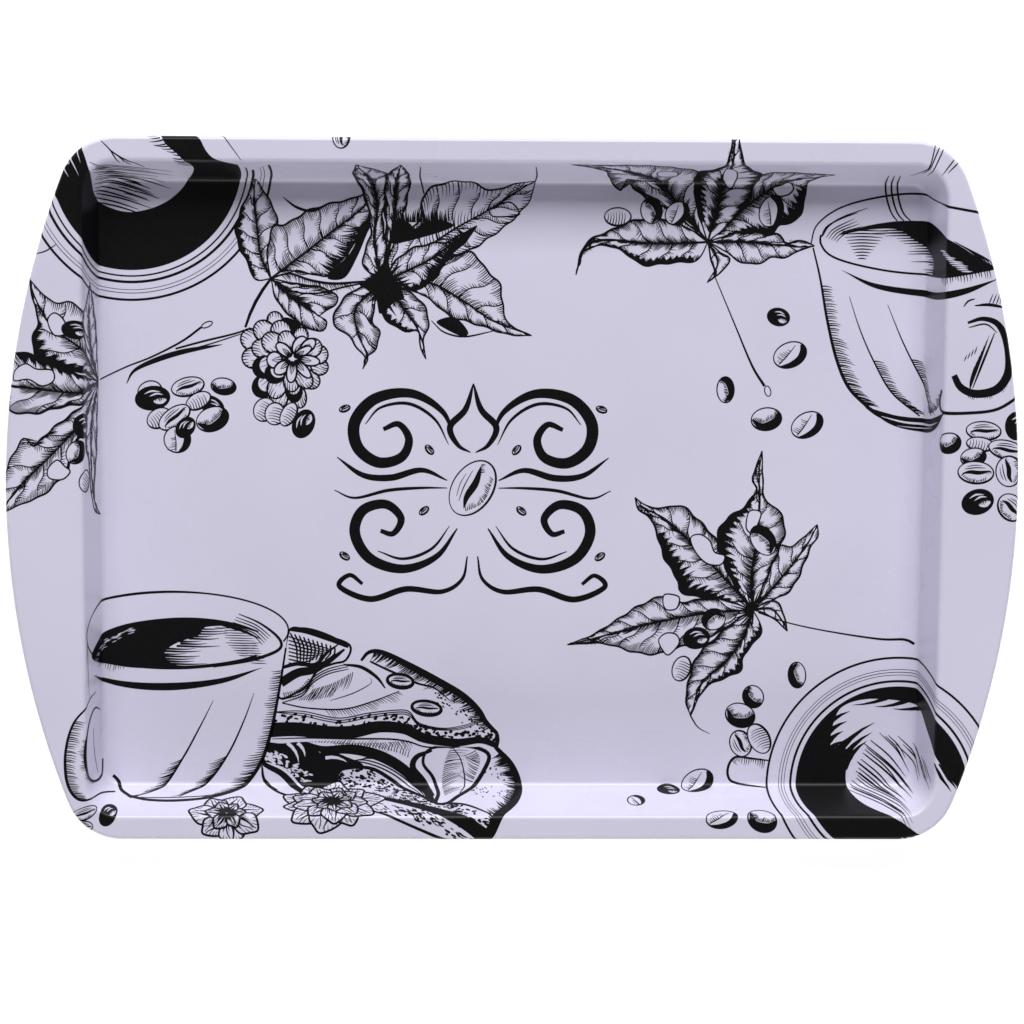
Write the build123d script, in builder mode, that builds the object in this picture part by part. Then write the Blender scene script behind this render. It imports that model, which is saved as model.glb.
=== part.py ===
from build123d import *
import os
from math import atan2, cos, degrees, hypot, radians, sin, sqrt, tan

# Pressed tinplate serving tray, 390 x 272 x 20 mm, with a rolled edge and bowed ends that
# serve as hand grips.  One sheet of printed tinplate makes the whole tray: the white base
# coat and every printed motif are films on its face, and each film is a node of its own.
# Millimetres.  Origin: centre of the underside.  +X: long way, +Y: top of the print, +Z: up.

# ---- driving dimensions -------------------------------------------------------------
SHEET = 0.30             # tinplate thickness
BASE_COAT = 0.10         # white enamel, drawn thicker than its real 0.015
INK = 0.05               # printed film, drawn thicker than its real 0.005

HALF_LENGTH = 195.0      # to the outermost point of the bowed ends
HALF_WIDTH = 136.2       # to the straight long edges
END_BOW = 338.8          # radius of the bowed ends in plan
CORNER = 22.4            # radius where a bowed end meets a long edge
CURL = 1.4               # outer radius of the rolled edge
CURL_WRAP = 290.0        # degrees of roll, from the flange's top round and under

DEPTH = 20.0             # floor to flange, top to top
OPENING = (165.8, 127.2)         # half sizes of the recess at the flange
FLOOR = (160.4, 119.2)           # half sizes of the flat floor
OPENING_CORNER = 12.0
FLOOR_CORNER = 8.0
SHOULDER_BEND = 2.0      # bend from wall to flange, underside radius
FLOOR_BEND = 3.0         # bend from floor to wall, underside radius

INK_WRAP = 90.0          # the prints are drawn as far as the roll's outermost line

ABOVE_ALL = DEPTH + 10   # height of the cutting prisms


# ---- the pressed form ---------------------------------------------------------------
BOW_CENTRE = HALF_LENGTH - END_BOW
CORNER_Y = HALF_WIDTH - CORNER
CORNER_X = BOW_CENTRE + sqrt((END_BOW - CORNER) ** 2 - CORNER_Y**2)
BOW_ANGLE = degrees(atan2(CORNER_Y, CORNER_X - BOW_CENTRE))


def outline(inset):
    """Edges of the tray's plan outline, moved inwards by inset."""
    for side in (1, -1):
        y = side * (HALF_WIDTH - inset)
        Line((-CORNER_X, y), (CORNER_X, y))
    CenterArc((BOW_CENTRE, 0), END_BOW - inset, -BOW_ANGLE, 2 * BOW_ANGLE)
    CenterArc((-BOW_CENTRE, 0), END_BOW - inset, 180 - BOW_ANGLE, 2 * BOW_ANGLE)
    radius = CORNER - inset
    turn = 90 - BOW_ANGLE
    CenterArc((CORNER_X, CORNER_Y), radius, BOW_ANGLE, turn)
    CenterArc((-CORNER_X, CORNER_Y), radius, 90, turn)
    CenterArc((-CORNER_X, -CORNER_Y), radius, 180 + BOW_ANGLE, turn)
    CenterArc((CORNER_X, -CORNER_Y), radius, 270, turn)


def wall_shift(opening, floor):
    """How far the foot of a wall moves in for each millimetre that the face rises."""
    slope = atan2(DEPTH, opening - floor)
    return tan(slope / 2)


FOOT_SHIFT = tuple(wall_shift(OPENING[i], FLOOR[i]) for i in (0, 1))


def under_face(rise):
    """Solid below the pressed face that lies rise above the sheet's underside."""
    inset = [rise * shift for shift in FOOT_SHIFT]
    with BuildPart() as block:
        with BuildSketch(Plane.XY.offset(-DEPTH)):
            with BuildLine():
                outline(CURL)
            make_face()
        extrude(amount=2 * DEPTH + rise)
        with BuildSketch(Plane.XY.offset(rise)):
            RectangleRounded(
                2 * (FLOOR[0] - inset[0]), 2 * (FLOOR[1] - inset[1]), FLOOR_CORNER - rise
            )
        with BuildSketch(Plane.XY.offset(DEPTH + rise)):
            RectangleRounded(
                2 * (OPENING[0] - inset[0]), 2 * (OPENING[1] - inset[1]), OPENING_CORNER - rise
            )
        loft(ruled=True, mode=Mode.SUBTRACT)
        flange_top = block.faces().sort_by(Axis.Z)[-1]
        shoulder = flange_top.inner_wires()[0].edges()
        foot = block.edges().filter_by_position(Axis.Z, rise - 0.01, rise + 0.01)
        fillet(foot, FLOOR_BEND - rise)
        fillet(shoulder, SHOULDER_BEND + rise)
    return block.part


def curl(low, high, wrap):
    """Rolled edge, between two distances above the sheet's underside, wrap degrees round."""
    centre_z = DEPTH + SHEET - CURL
    inner = CURL - SHEET + low
    outer = CURL - SHEET + high
    section_plane = Plane(
        origin=(0, HALF_WIDTH - CURL, centre_z), x_dir=(0, 1, 0), z_dir=(1, 0, 0)
    )
    with BuildPart() as roll:
        with BuildLine(Plane.XY.offset(centre_z)) as axis_line:
            outline(CURL)
        with BuildSketch(section_plane):
            with BuildLine():
                outside = CenterArc((0, 0), outer, 90, -wrap)
                inside = CenterArc((0, 0), inner, 90, -wrap)
                Line(outside @ 0, inside @ 0)
                Line(outside @ 1, inside @ 1)
            make_face()
        sweep(path=axis_line.wires()[0])
    return roll.part


def layer(low, high, wrap=CURL_WRAP):
    """One film or the sheet itself: plate, walls, floor and rolled edge."""
    upper = under_face(high)
    lower = under_face(low)
    roll = curl(low, high, wrap)
    with BuildPart() as film:
        add(upper)
        add(lower, mode=Mode.SUBTRACT)
        add(roll)
    return film.part


# ---- printed motifs, as plain silhouettes in plan ------------------------------------
def blade(start, end, width):
    """Shape with two pointed ends and two arched sides."""
    middle_x = (start[0] + end[0]) / 2
    middle_y = (start[1] + end[1]) / 2
    length = hypot(end[0] - start[0], end[1] - start[1])
    across_x = -(end[1] - start[1]) / length * width / 2
    across_y = (end[0] - start[0]) / length * width / 2
    with BuildLine() as edge:
        ThreePointArc(start, (middle_x + across_x, middle_y + across_y), end)
        ThreePointArc(end, (middle_x - across_x, middle_y - across_y), start)
    make_face(edge.edges())


def leaf(heart, tips, stem_end=None):
    """Lobed leaf: one blade to each tip, with an optional stem."""
    with Locations(heart):
        Circle(4.5)
    for tip in tips:
        reach = hypot(tip[0] - heart[0], tip[1] - heart[1])
        blade(heart, tip, 0.42 * reach)
    if stem_end:
        blade(heart, stem_end, 1.6)


def beans(places, length=8.6):
    """Coffee beans at (x, y, turn), each with its crease left open."""
    for x, y, turn in places:
        with Locations((x, y)):
            Ellipse(length / 2, length * 0.34, rotation=turn)
            Rectangle(length * 0.62, length * 0.07, rotation=turn, mode=Mode.SUBTRACT)


def cup_from_above(x, y, rim, light_turn):
    """Rim ring and coffee of a cup seen from above, with a bright lens in the coffee."""
    with Locations((x, y)):
        Circle(rim)
        Circle(0.93 * rim, mode=Mode.SUBTRACT)
        Circle(0.82 * rim)
        Ellipse(0.40 * rim, 0.26 * rim, rotation=light_turn, mode=Mode.SUBTRACT)


def cup_from_side(x, y, side, lean, rim):
    """Rim, coffee, body lines and handle of a cup; side -1 puts the handle on the left."""

    def place(along, up):
        right = side * along * rim
        rise = up * rim
        turn = radians(lean)
        return (x + right * cos(turn) - rise * sin(turn), y + right * sin(turn) + rise * cos(turn))

    with Locations(place(0, 0)):
        Ellipse(rim, 0.44 * rim, rotation=lean)
        Ellipse(0.95 * rim, 0.40 * rim, rotation=lean, mode=Mode.SUBTRACT)
    with Locations(place(0, -0.08)):
        Ellipse(0.85 * rim, 0.25 * rim, rotation=lean)
    blade(place(-0.974, 0.0), place(-0.66, -1.55), 2.2)
    blade(place(0.974, 0.0), place(0.66, -1.55), 2.2)
    blade(place(-0.74, -1.50), place(0.74, -1.50), 3.4)
    with Locations(place(1.14, -0.94)):
        Ellipse(0.30 * rim, 0.50 * rim, rotation=lean)
        Ellipse(0.24 * rim, 0.43 * rim, rotation=lean, mode=Mode.SUBTRACT)


def star(x, y, size, points=8):
    """Star anise: pointed carpels round a small heart."""
    with Locations((x, y)):
        Circle(0.18 * size)
    for i in range(points):
        angle = radians(360 / points * i + 10)
        blade((x, y), (x + size * cos(angle), y + size * sin(angle)), 0.34 * size)


def rosette(x, y, radius, petals=8):
    """Round flower: a ring of petals round an open heart."""
    for i in range(petals):
        angle = radians(360 / petals * i)
        with Locations((x + 0.62 * radius * cos(angle), y + 0.62 * radius * sin(angle))):
            Circle(0.38 * radius)
    with Locations((x, y)):
        Circle(0.20 * radius, mode=Mode.SUBTRACT)


def scroll(x, y, radius, start, sweep_angle, width=2.4):
    """Crescent stroke on an arc, thick in the middle and pointed at both ends."""
    end = start + sweep_angle
    middle = start + sweep_angle / 2
    first = (x + radius * cos(radians(start)), y + radius * sin(radians(start)))
    last = (x + radius * cos(radians(end)), y + radius * sin(radians(end)))
    reach = [radius + width / 2, radius - width / 2]
    outer, inner = [(x + r * cos(radians(middle)), y + r * sin(radians(middle))) for r in reach]
    with BuildLine() as edge:
        ThreePointArc(first, outer, last)
        ThreePointArc(last, inner, first)
    make_face(edge.edges())


# ---- where each motif is printed -----------------------------------------------------
def cup_above_upper_left():
    cup_from_above(-142, 122, 44, 20)


def cup_above_lower_right():
    cup_from_above(152, -120, 50, 50)


def cup_side_lower_left():
    cup_from_side(-126, -59, -1, 0, 39)


def cup_side_upper_right():
    cup_from_side(152, 94, 1, -8, 37)


def leaf_left_edge():
    leaf((-164, 37), [(-185, 81), (-194, 20), (-194, -8), (-178, 58), (-166, 8), (-158, 24)])


def leaves_upper_left():
    leaf((-94, 82), [(-95, 111), (-106, 88), (-66, 120), (-72, 66), (-60, 92)])
    leaf((-50, 77), [(9, 124), (6, 60), (-34, 52), (-57, 46), (-46, 122), (-10, 104)])


def leaf_upper_right():
    leaf((75, 97), [(24, 84), (83, 135), (113, 94), (77, 80), (33, 122), (108, 122)], (99, 37))


def leaf_lower_right():
    tips = [(48, -5), (97, 14), (120, -15), (23, -62), (108, -57), (75, -94)]
    leaf((95, -49), tips, (158, -61))


def flower():
    rosette(-87, 49.5, 14)
    beans([(-96, 28, 60), (-88, 26, 80), (-80, 24, 110)], 7.5)


def twig():
    blade((-160, 42), (-117, 63.5), 1.6)
    blade((-149, 40.5), (-105, 63), 1.6)


def beans_left():
    beans([(-147, 34, -15), (-137, 39, 10), (-128, 36, 40), (-141, 30, 20), (-133, 29, 60)])
    beans([(-120, 30, -20), (-127, 22, 30), (-112, 39, -10)])


def beans_upper_right():
    beans([(103, 67, -20), (108, 52, 30), (83, 39, 75), (99, 25, 5), (115, 24, 30)])


def beans_lower_right():
    beans([(113, -74, 100), (98, -83, 60), (92, -92, 150), (98, -101, 70), (75, -114, 40)])
    beans([(86, -104, 110), (62, -121, 0), (84, -130, 0), (50, -123, 0)], 7.5)


def beans_right_flange():
    beans([(172, 22, 20), (182, 24, -30), (174, 12, 60), (184, 12, 10), (191, 2, 80)])
    beans([(180, -2, 40), (190, 18, 60), (188, -8, 15)])


def beans_lower_left():
    beans([(-166, -128, 20), (-156, -131, -20)], 7.5)


def bean_top_edge():
    beans([(-67, 133, 0)], 7.5)


def croissant():
    with BuildLine() as edge:
        Spline((-77, -62), (-55, -63), (-28, -76), (-8, -95), (-45, -98), (-76, -92), periodic=True)
    make_face(edge.edges())
    with BuildLine() as edge:
        Spline((-76, -103), (-45, -105), (-8, -106), (3, -117), (-8, -130), (-42, -122), periodic=True)
    make_face(edge.edges())


def star_anise():
    star(-111, -128.5, 8)
    star(-72, -124, 12)


def corner_strokes():
    for x in (158, 161, 164):
        blade((x, 131), (x + 6, 121), 1.0)


def centre_ornament():
    x, y = -16, -3
    for side in (1, -1):
        scroll(x + side * 29, y, 17, 90 - side * 215, side * 250, 4.2)
        scroll(x + side * 14, y + 21, 11, 90 + side * 70, -side * 200, 3.4)
        scroll(x + side * 14, y - 21, 11, 270 - side * 70, side * 200, 3.4)
        blade((x, y + side * 38), (x + 40, y + side * 34), 2.4)
        blade((x, y + side * 38), (x - 40, y + side * 34), 2.4)
    beans([(x, y, 70)], 15)


MOTIFS = (
    cup_above_upper_left,
    cup_above_lower_right,
    cup_side_lower_left,
    cup_side_upper_right,
    leaf_left_edge,
    leaves_upper_left,
    leaf_upper_right,
    leaf_lower_right,
    flower,
    twig,
    beans_left,
    beans_upper_right,
    beans_lower_right,
    beans_right_flange,
    beans_lower_left,
    bean_top_edge,
    croissant,
    star_anise,
    corner_strokes,
    centre_ornament,
)


# ---- the sheet, its base coat and the prints -----------------------------------------
os.makedirs("parts", exist_ok=True)

sheet = layer(0, SHEET)
with BuildPart() as tinplate_pan:
    add(sheet)
tinplate_pan.part.label = "tinplate_pan"
export_step(tinplate_pan.part, "parts/tinplate_pan.step")

coat = layer(SHEET, SHEET + BASE_COAT)
with BuildPart() as white_enamel:
    add(coat)
white_enamel.part.label = "white_enamel"
export_step(white_enamel.part, "parts/white_enamel.step")

ink_layer = layer(SHEET + BASE_COAT, SHEET + BASE_COAT + INK, INK_WRAP)
for motif in MOTIFS:
    with BuildPart() as ink:
        with BuildSketch():
            motif()
        extrude(amount=ABOVE_ALL)
        add(ink_layer, mode=Mode.INTERSECT)
    ink.part.label = "ink_" + motif.__name__
    export_step(ink.part, "parts/" + ink.part.label + ".step")
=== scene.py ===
import math
import random

import bpy
import numpy as np
from mathutils import Matrix, Vector
from mathutils.geometry import delaunay_2d_cdt


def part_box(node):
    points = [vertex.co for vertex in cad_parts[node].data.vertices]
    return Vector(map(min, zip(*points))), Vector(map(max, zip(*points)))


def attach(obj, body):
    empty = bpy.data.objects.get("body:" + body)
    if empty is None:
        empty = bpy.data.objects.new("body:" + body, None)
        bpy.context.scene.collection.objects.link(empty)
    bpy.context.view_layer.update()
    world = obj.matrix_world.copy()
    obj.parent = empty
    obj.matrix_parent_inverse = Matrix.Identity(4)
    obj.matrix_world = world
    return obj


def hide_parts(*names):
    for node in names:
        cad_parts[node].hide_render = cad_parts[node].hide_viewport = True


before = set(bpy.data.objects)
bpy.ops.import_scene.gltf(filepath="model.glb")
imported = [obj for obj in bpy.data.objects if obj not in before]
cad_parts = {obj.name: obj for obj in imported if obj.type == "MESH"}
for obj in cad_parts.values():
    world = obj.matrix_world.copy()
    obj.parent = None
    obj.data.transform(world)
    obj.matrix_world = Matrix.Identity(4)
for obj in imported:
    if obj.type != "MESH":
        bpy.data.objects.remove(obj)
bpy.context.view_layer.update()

# A pressed tinplate serving tray.  The CAD gives its size; here the sheet, its white base coat
# and the printed line art are rebuilt as fine meshes.  The art is drawn on the flat, unpressed
# sheet and then pressed with it.  The tray and its art are in millimetres until a mesh is made;
# the stage, lights and camera are in metres.

MM = 0.001

# ---- the pressed form, as in the CAD -------------------------------------------------
SHEET = 0.30
COAT = 0.10
INK = 0.05
FACE = SHEET + COAT                      # print face above the sheet's underside
coat_low, coat_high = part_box("white_enamel")
HALF_LENGTH = coat_high[0] / MM - COAT
HALF_WIDTH = coat_high[1] / MM - COAT
DEPTH = coat_high[2] / MM - FACE
END_BOW = 338.8                          # plan radius of the bowed ends
CORNER = 22.4                            # plan radius where a bowed end meets a long edge
CURL = 1.4                               # outer radius of the rolled edge
CURL_WRAP = math.radians(290)            # how far the sheet rolls round
INK_WRAP = math.radians(150)             # how far the print follows it
ROLL_RADIUS = CURL + COAT
OPENING = (165.8, 127.2)                 # half sizes of the recess at the flange
FLOOR = (160.4, 119.2)                   # half sizes of the flat floor
CORE_CORNER = 7.0                        # plan radius of the floor's corners
FOOT_BEND = 3.0 - FACE
SHOULDER_BEND = 2.0 + FACE

BOW_CENTRE = HALF_LENGTH - END_BOW
CORNER_Y = HALF_WIDTH - CORNER
CORNER_X = BOW_CENTRE + math.sqrt((END_BOW - CORNER) ** 2 - CORNER_Y**2)
BOW_ANGLE = math.atan2(CORNER_Y, CORNER_X - BOW_CENTRE)


def foot_shift(axis):
    """How far the print face stands in from the underside at the foot of a wall."""
    return FACE * math.tan(math.atan2(DEPTH, OPENING[axis] - FLOOR[axis]) / 2)


CORE = [FLOOR[i] - foot_shift(i) - CORE_CORNER for i in (0, 1)]


def wall_profile(nx, ny):
    """Bend stations along a wall whose outward direction in plan is (nx, ny)."""
    width = (OPENING[0] - FLOOR[0]) * nx**2 + (OPENING[1] - FLOOR[1]) * ny**2
    slope = np.arctan2(DEPTH, width)
    length = np.hypot(DEPTH, width)
    foot = FOOT_BEND * np.tan(slope / 2)
    shoulder = SHOULDER_BEND * np.tan(slope / 2)
    s0 = -foot
    s1 = s0 + FOOT_BEND * slope
    s2 = s1 + length - foot - shoulder
    s3 = s2 + SHOULDER_BEND * slope
    return width + shoulder, slope, s0, s1, s2, s3


def from_core(x, y):
    """Nearest point of the core rectangle, outward direction and distance past the floor."""
    cx = np.clip(x, -CORE[0], CORE[0])
    cy = np.clip(y, -CORE[1], CORE[1])
    dx, dy = x - cx, y - cy
    r = np.hypot(dx, dy)
    safe = np.where(r > 1e-9, r, 1.0)
    return cx, cy, dx / safe, dy / safe, r - CORE_CORNER


def to_outline(x, y):
    """Distance outside the line where the roll begins, and that line's outward direction."""
    ax, ay = np.abs(x), np.abs(y)
    along_bow = np.arctan2(ay, ax - BOW_CENTRE) <= BOW_ANGLE
    straight = (ax <= CORNER_X) & ~along_bow
    px = np.where(along_bow, BOW_CENTRE, np.where(straight, ax, CORNER_X))
    py = np.where(along_bow, 0.0, np.where(straight, ay - 1.0, CORNER_Y))
    radius = np.where(along_bow, END_BOW, CORNER) - CURL
    vx, vy = ax - px, ay - py
    length = np.maximum(np.hypot(vx, vy), 1e-9)
    distance = np.where(straight, ay - HALF_WIDTH + CURL, length - radius)
    return distance, vx / length * np.sign(x), vy / length * np.sign(y)


def roll(x, y, rise):
    """Flange and rolled edge: plan point on the flange to place and normal."""
    out, gx, gy = to_outline(x, y)
    out = np.maximum(out, 0.0)
    turn = np.minimum(out / ROLL_RADIUS, CURL_WRAP)
    normal = np.stack([gx * np.sin(turn), gy * np.sin(turn), np.cos(turn)], 1)
    place = np.stack([x - gx * out, y - gy * out, np.full_like(x, DEPTH + SHEET - CURL)], 1)
    return place + normal * (ROLL_RADIUS + rise - FACE)[:, None], normal


def pressed(points, rise):
    """Points of the flat sheet, taken to their place and normal on the pressed tray."""
    points = np.asarray(points, float)
    rise = np.broadcast_to(np.asarray(rise, float), len(points))
    cx, cy, nx, ny, s = from_core(points[:, 0], points[:, 1])
    _, slope, s0, s1, s2, s3 = wall_profile(nx, ny)
    foot = np.clip((s - s0) / FOOT_BEND, 0, slope)
    climb = np.clip(s - s1, 0, s2 - s1)
    over = np.clip((s - s2) / SHOULDER_BEND, 0, slope)
    lean = foot - over
    plan = np.minimum(s, s0) + FOOT_BEND * np.sin(foot) + climb * np.cos(slope)
    plan += SHOULDER_BEND * (np.sin(slope) - np.sin(slope - over)) + np.maximum(s - s3, 0)
    height = FOOT_BEND * (1 - np.cos(foot)) + climb * np.sin(slope)
    height += SHOULDER_BEND * (np.cos(slope - over) - np.cos(slope))
    x = cx + nx * (CORE_CORNER + plan)
    y = cy + ny * (CORE_CORNER + plan)
    normal = np.stack([-nx * np.sin(lean), -ny * np.sin(lean), np.cos(lean)], 1)
    place = np.stack([x, y, height + FACE], 1) + normal * (rise - FACE)[:, None]
    outside = (s > s3) & (to_outline(x, y)[0] > 0)
    if outside.any():
        place[outside], normal[outside] = roll(x[outside], y[outside], rise[outside])
    return place, normal


def flat_of_flange(x, y):
    """Plan points on the flange, taken back to the flat sheet."""
    cx, cy, nx, ny, plan = from_core(x, y)
    width, *_, s3 = wall_profile(nx, ny)
    s = plan - width + s3
    return np.stack([cx + nx * (CORE_CORNER + s), cy + ny * (CORE_CORNER + s)], 1)


def new_mesh(name, places, faces, normals, material):
    """Object from millimetre places, with its shading normals set."""
    mesh = bpy.data.meshes.new(name)
    mesh.from_pydata((np.asarray(places) * MM).tolist(), [], faces)
    mesh.validate()
    mesh.shade_smooth()
    mesh.normals_split_custom_set_from_vertices(np.asarray(normals).tolist())
    piece = bpy.data.objects.new(name, mesh)
    piece.data.materials.append(material)
    bpy.context.scene.collection.objects.link(piece)
    return piece


# ---- the sheet and its base coat -----------------------------------------------------
LONG_STEPS = 48
SHORT_STEPS = 36
CORNER_STEPS = 20
BEND_STEPS = 8
WALL_STEPS = 5
FLANGE_STEPS = 4
ROLL_STEPS = 28
FLAT_BAND = 0.5                          # flat ring kept inside the foot of the walls
FARTHEST = 80.0                          # no point of the roll is farther from the core
HALVINGS = 40


def perimeter():
    """Stations round the core rectangle: (point, outward direction), counter-clockwise."""
    corners = [(1, -1), (1, 1), (-1, 1), (-1, -1)]
    stations = []
    for side in range(4):
        start = np.array(corners[side]) * CORE
        end = np.array(corners[(side + 1) % 4]) * CORE
        turn = side * math.pi / 2
        steps = SHORT_STEPS if side % 2 == 0 else LONG_STEPS
        for i in range(steps + 1):
            point = start + (end - start) * i / steps
            stations.append((point, turn))
        for i in range(1, CORNER_STEPS):
            stations.append((end, turn + i / CORNER_STEPS * math.pi / 2))
    points = np.array([p for p, turn in stations])
    turns = np.array([turn for p, turn in stations])
    return points, np.stack([np.cos(turns), np.sin(turns)], 1)


def reach_to_roll(points, directions):
    """How far each ray from the core rectangle runs before the roll begins."""
    low = np.zeros(len(points))
    high = np.full(len(points), FARTHEST)
    for _ in range(HALVINGS):
        middle = (low + high) / 2
        probe = points + directions * middle[:, None]
        outside = to_outline(probe[:, 0], probe[:, 1])[0] > 0
        high = np.where(outside, middle, high)
        low = np.where(outside, low, middle)
    return (low + high) / 2


def face_rings(rise):
    """Rings of places and normals from the floor's edge to the end of the roll."""
    points, directions = perimeter()
    width, _, s0, s1, s2, s3 = wall_profile(directions[:, 0], directions[:, 1])
    marks = [s0 - FLAT_BAND]
    marks += [s0 + (s1 - s0) * i / BEND_STEPS for i in range(BEND_STEPS)]
    marks += [s1 + (s2 - s1) * i / WALL_STEPS for i in range(WALL_STEPS)]
    marks += [s2 + (s3 - s2) * i / BEND_STEPS for i in range(BEND_STEPS + 1)]
    rings = []
    for mark in marks:
        flat = points + directions * (CORE_CORNER + mark)[:, None]
        rings.append(pressed(flat, rise))
    reach = reach_to_roll(points, directions)
    inner = CORE_CORNER + width
    level = np.full(len(points), float(rise))
    for i in range(1, FLANGE_STEPS + 1):
        plan = points + directions * (inner + (reach - inner) * i / FLANGE_STEPS)[:, None]
        rings.append(roll(plan[:, 0], plan[:, 1], level))
    edge = points + directions * reach[:, None]
    _, gx, gy = to_outline(edge[:, 0], edge[:, 1])
    for i in range(1, ROLL_STEPS + 1):
        out = ROLL_RADIUS * CURL_WRAP * i / ROLL_STEPS
        rings.append(roll(edge[:, 0] + gx * out, edge[:, 1] + gy * out, level))
    return rings


def half_shell(rise):
    """Places, normals and faces of one surface of the sheet, and its border ring."""
    xs = np.linspace(-CORE[0], CORE[0], LONG_STEPS + 1)
    ys = np.linspace(-CORE[1], CORE[1], SHORT_STEPS + 1)
    grid = np.array([(x, y, rise) for y in ys for x in xs])
    row = LONG_STEPS + 1
    faces = []
    for j in range(SHORT_STEPS):
        for i in range(LONG_STEPS):
            a = j * row + i
            faces.append((a, a + 1, a + row + 1, a + row))
    points, _ = perimeter()
    count = len(points)
    column = np.rint((points[:, 0] + CORE[0]) / (2 * CORE[0]) * LONG_STEPS).astype(int)
    line = np.rint((points[:, 1] + CORE[1]) / (2 * CORE[1]) * SHORT_STEPS).astype(int)
    border = (line * row + column).tolist()
    rings = face_rings(rise)
    first = len(grid)
    for j in range(count):
        k = (j + 1) % count
        a, b = border[j], border[k]
        if a == b:
            faces.append((a, first + j, first + k))
        else:
            faces.append((a, first + j, first + k, b))
    for i in range(len(rings) - 1):
        low, high = first + i * count, first + (i + 1) * count
        for j in range(count):
            k = (j + 1) % count
            faces.append((low + j, high + j, high + k, low + k))
    up = np.tile([0.0, 0.0, 1.0], (len(grid), 1))
    places = np.concatenate([grid] + [place for place, normal in rings])
    normals = np.concatenate([up] + [normal for place, normal in rings])
    last = first + (len(rings) - 1) * count
    return places, normals, faces, [last + j for j in range(count)]


def shell(name, low, high, material):
    """Closed sheet between two heights above the underside."""
    top, top_normals, faces, rim = half_shell(high)
    under, under_normals, under_faces, under_rim = half_shell(low)
    shift = len(top)
    faces += [tuple(shift + v for v in reversed(face)) for face in under_faces]
    count = len(rim)
    for j in range(count):
        k = (j + 1) % count
        faces.append((rim[j], shift + under_rim[j], shift + under_rim[k], rim[k]))
    places = np.concatenate([top, under])
    normals = np.concatenate([top_normals, -under_normals])
    return new_mesh(name, places, faces, normals, material)


# ---- materials -----------------------------------------------------------------------
def node_material(name):
    """New material with its nodes and links."""
    material = bpy.data.materials.new(name)
    material.use_nodes = True
    return material, material.node_tree.nodes, material.node_tree.links


def add(nodes, kind, **values):
    """New shader node with its properties and named inputs set."""
    node = nodes.new(kind)
    for key, value in values.items():
        if hasattr(node, key):
            setattr(node, key, value)
        else:
            node.inputs[key.replace("_", " ")].default_value = value
    return node


def ramp(nodes, *stops):
    """Colour ramp between two (position, colour) stops."""
    node = add(nodes, "ShaderNodeValToRGB")
    for element, (position, colour) in zip(node.color_ramp.elements, stops):
        element.position = position
        element.color = (*colour, 1)
    return node


def weigh(nodes, share):
    """Adds its third input to a share of its first."""
    node = add(nodes, "ShaderNodeMath", operation="MULTIPLY_ADD")
    node.inputs[1].default_value = share
    return node


def wire(links, *rows):
    """Links, each from a node's output to another node's input."""
    for source, output, target, entry in rows:
        links.new(source.outputs[output], target.inputs[entry])


def orange_peel(nodes):
    """Noise and bump of the varnish over the print."""
    return (add(nodes, "ShaderNodeTexNoise", Scale=900.0, Detail=2.0),
            add(nodes, "ShaderNodeBump", Strength=0.08, Distance=0.00004))


def enamel():
    """Cool white litho coat: faint tinplate grain, varnish with a slight orange peel."""
    material, nodes, links = node_material("enamel")
    shader = nodes["Principled BSDF"]
    shader.inputs["Specular IOR Level"].default_value = 0.5
    place = add(nodes, "ShaderNodeTexCoord")
    grain = add(nodes, "ShaderNodeTexNoise", Scale=2600.0, Detail=3.0)
    cloud = add(nodes, "ShaderNodeTexNoise", Scale=14.0, Detail=4.0)
    mix = weigh(nodes, 0.30)
    tint = ramp(nodes, (0.20, (0.715, 0.686, 0.860)), (1.0, (0.800, 0.772, 0.950)))
    peel, fine = orange_peel(nodes)
    wave = add(nodes, "ShaderNodeTexNoise", Scale=22.0, Detail=1.0)
    slow = add(nodes, "ShaderNodeBump", Strength=0.25, Distance=0.0003)
    rough = add(nodes, "ShaderNodeMapRange", To_Min=0.22, To_Max=0.34)
    wire(links, *[(place, "Object", texture, "Vector") for texture in (grain, cloud, peel, wave)],
         (grain, "Fac", mix, 0), (cloud, "Fac", mix, 2), (mix, 0, tint, "Fac"),
         (tint, "Color", shader, "Base Color"),
         (wave, "Fac", slow, "Height"), (peel, "Fac", fine, "Height"),
         (slow, "Normal", fine, "Normal"), (fine, "Normal", shader, "Normal"),
         (cloud, "Fac", rough, "Value"), (rough, "Result", shader, "Roughness"))
    return material


def black_ink():
    """Black litho ink under varnish: slightly uneven density, small gloss changes."""
    material, nodes, links = node_material("black_ink")
    shader = nodes["Principled BSDF"]
    shader.inputs["Specular IOR Level"].default_value = 0.22
    place = add(nodes, "ShaderNodeTexCoord")
    density = add(nodes, "ShaderNodeTexNoise", Scale=1500.0, Detail=3.0)
    tint = ramp(nodes, (0.35, (0.0035, 0.0032, 0.0038)), (0.85, (0.0085, 0.0078, 0.0092)))
    rough = add(nodes, "ShaderNodeMapRange", To_Min=0.30, To_Max=0.42)
    peel, fine = orange_peel(nodes)
    wire(links, (place, "Object", density, "Vector"), (place, "Object", peel, "Vector"),
         (density, "Fac", tint, "Fac"), (tint, "Color", shader, "Base Color"),
         (density, "Fac", rough, "Value"), (rough, "Result", shader, "Roughness"),
         (peel, "Fac", fine, "Height"), (fine, "Normal", shader, "Normal"))
    return material


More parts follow.
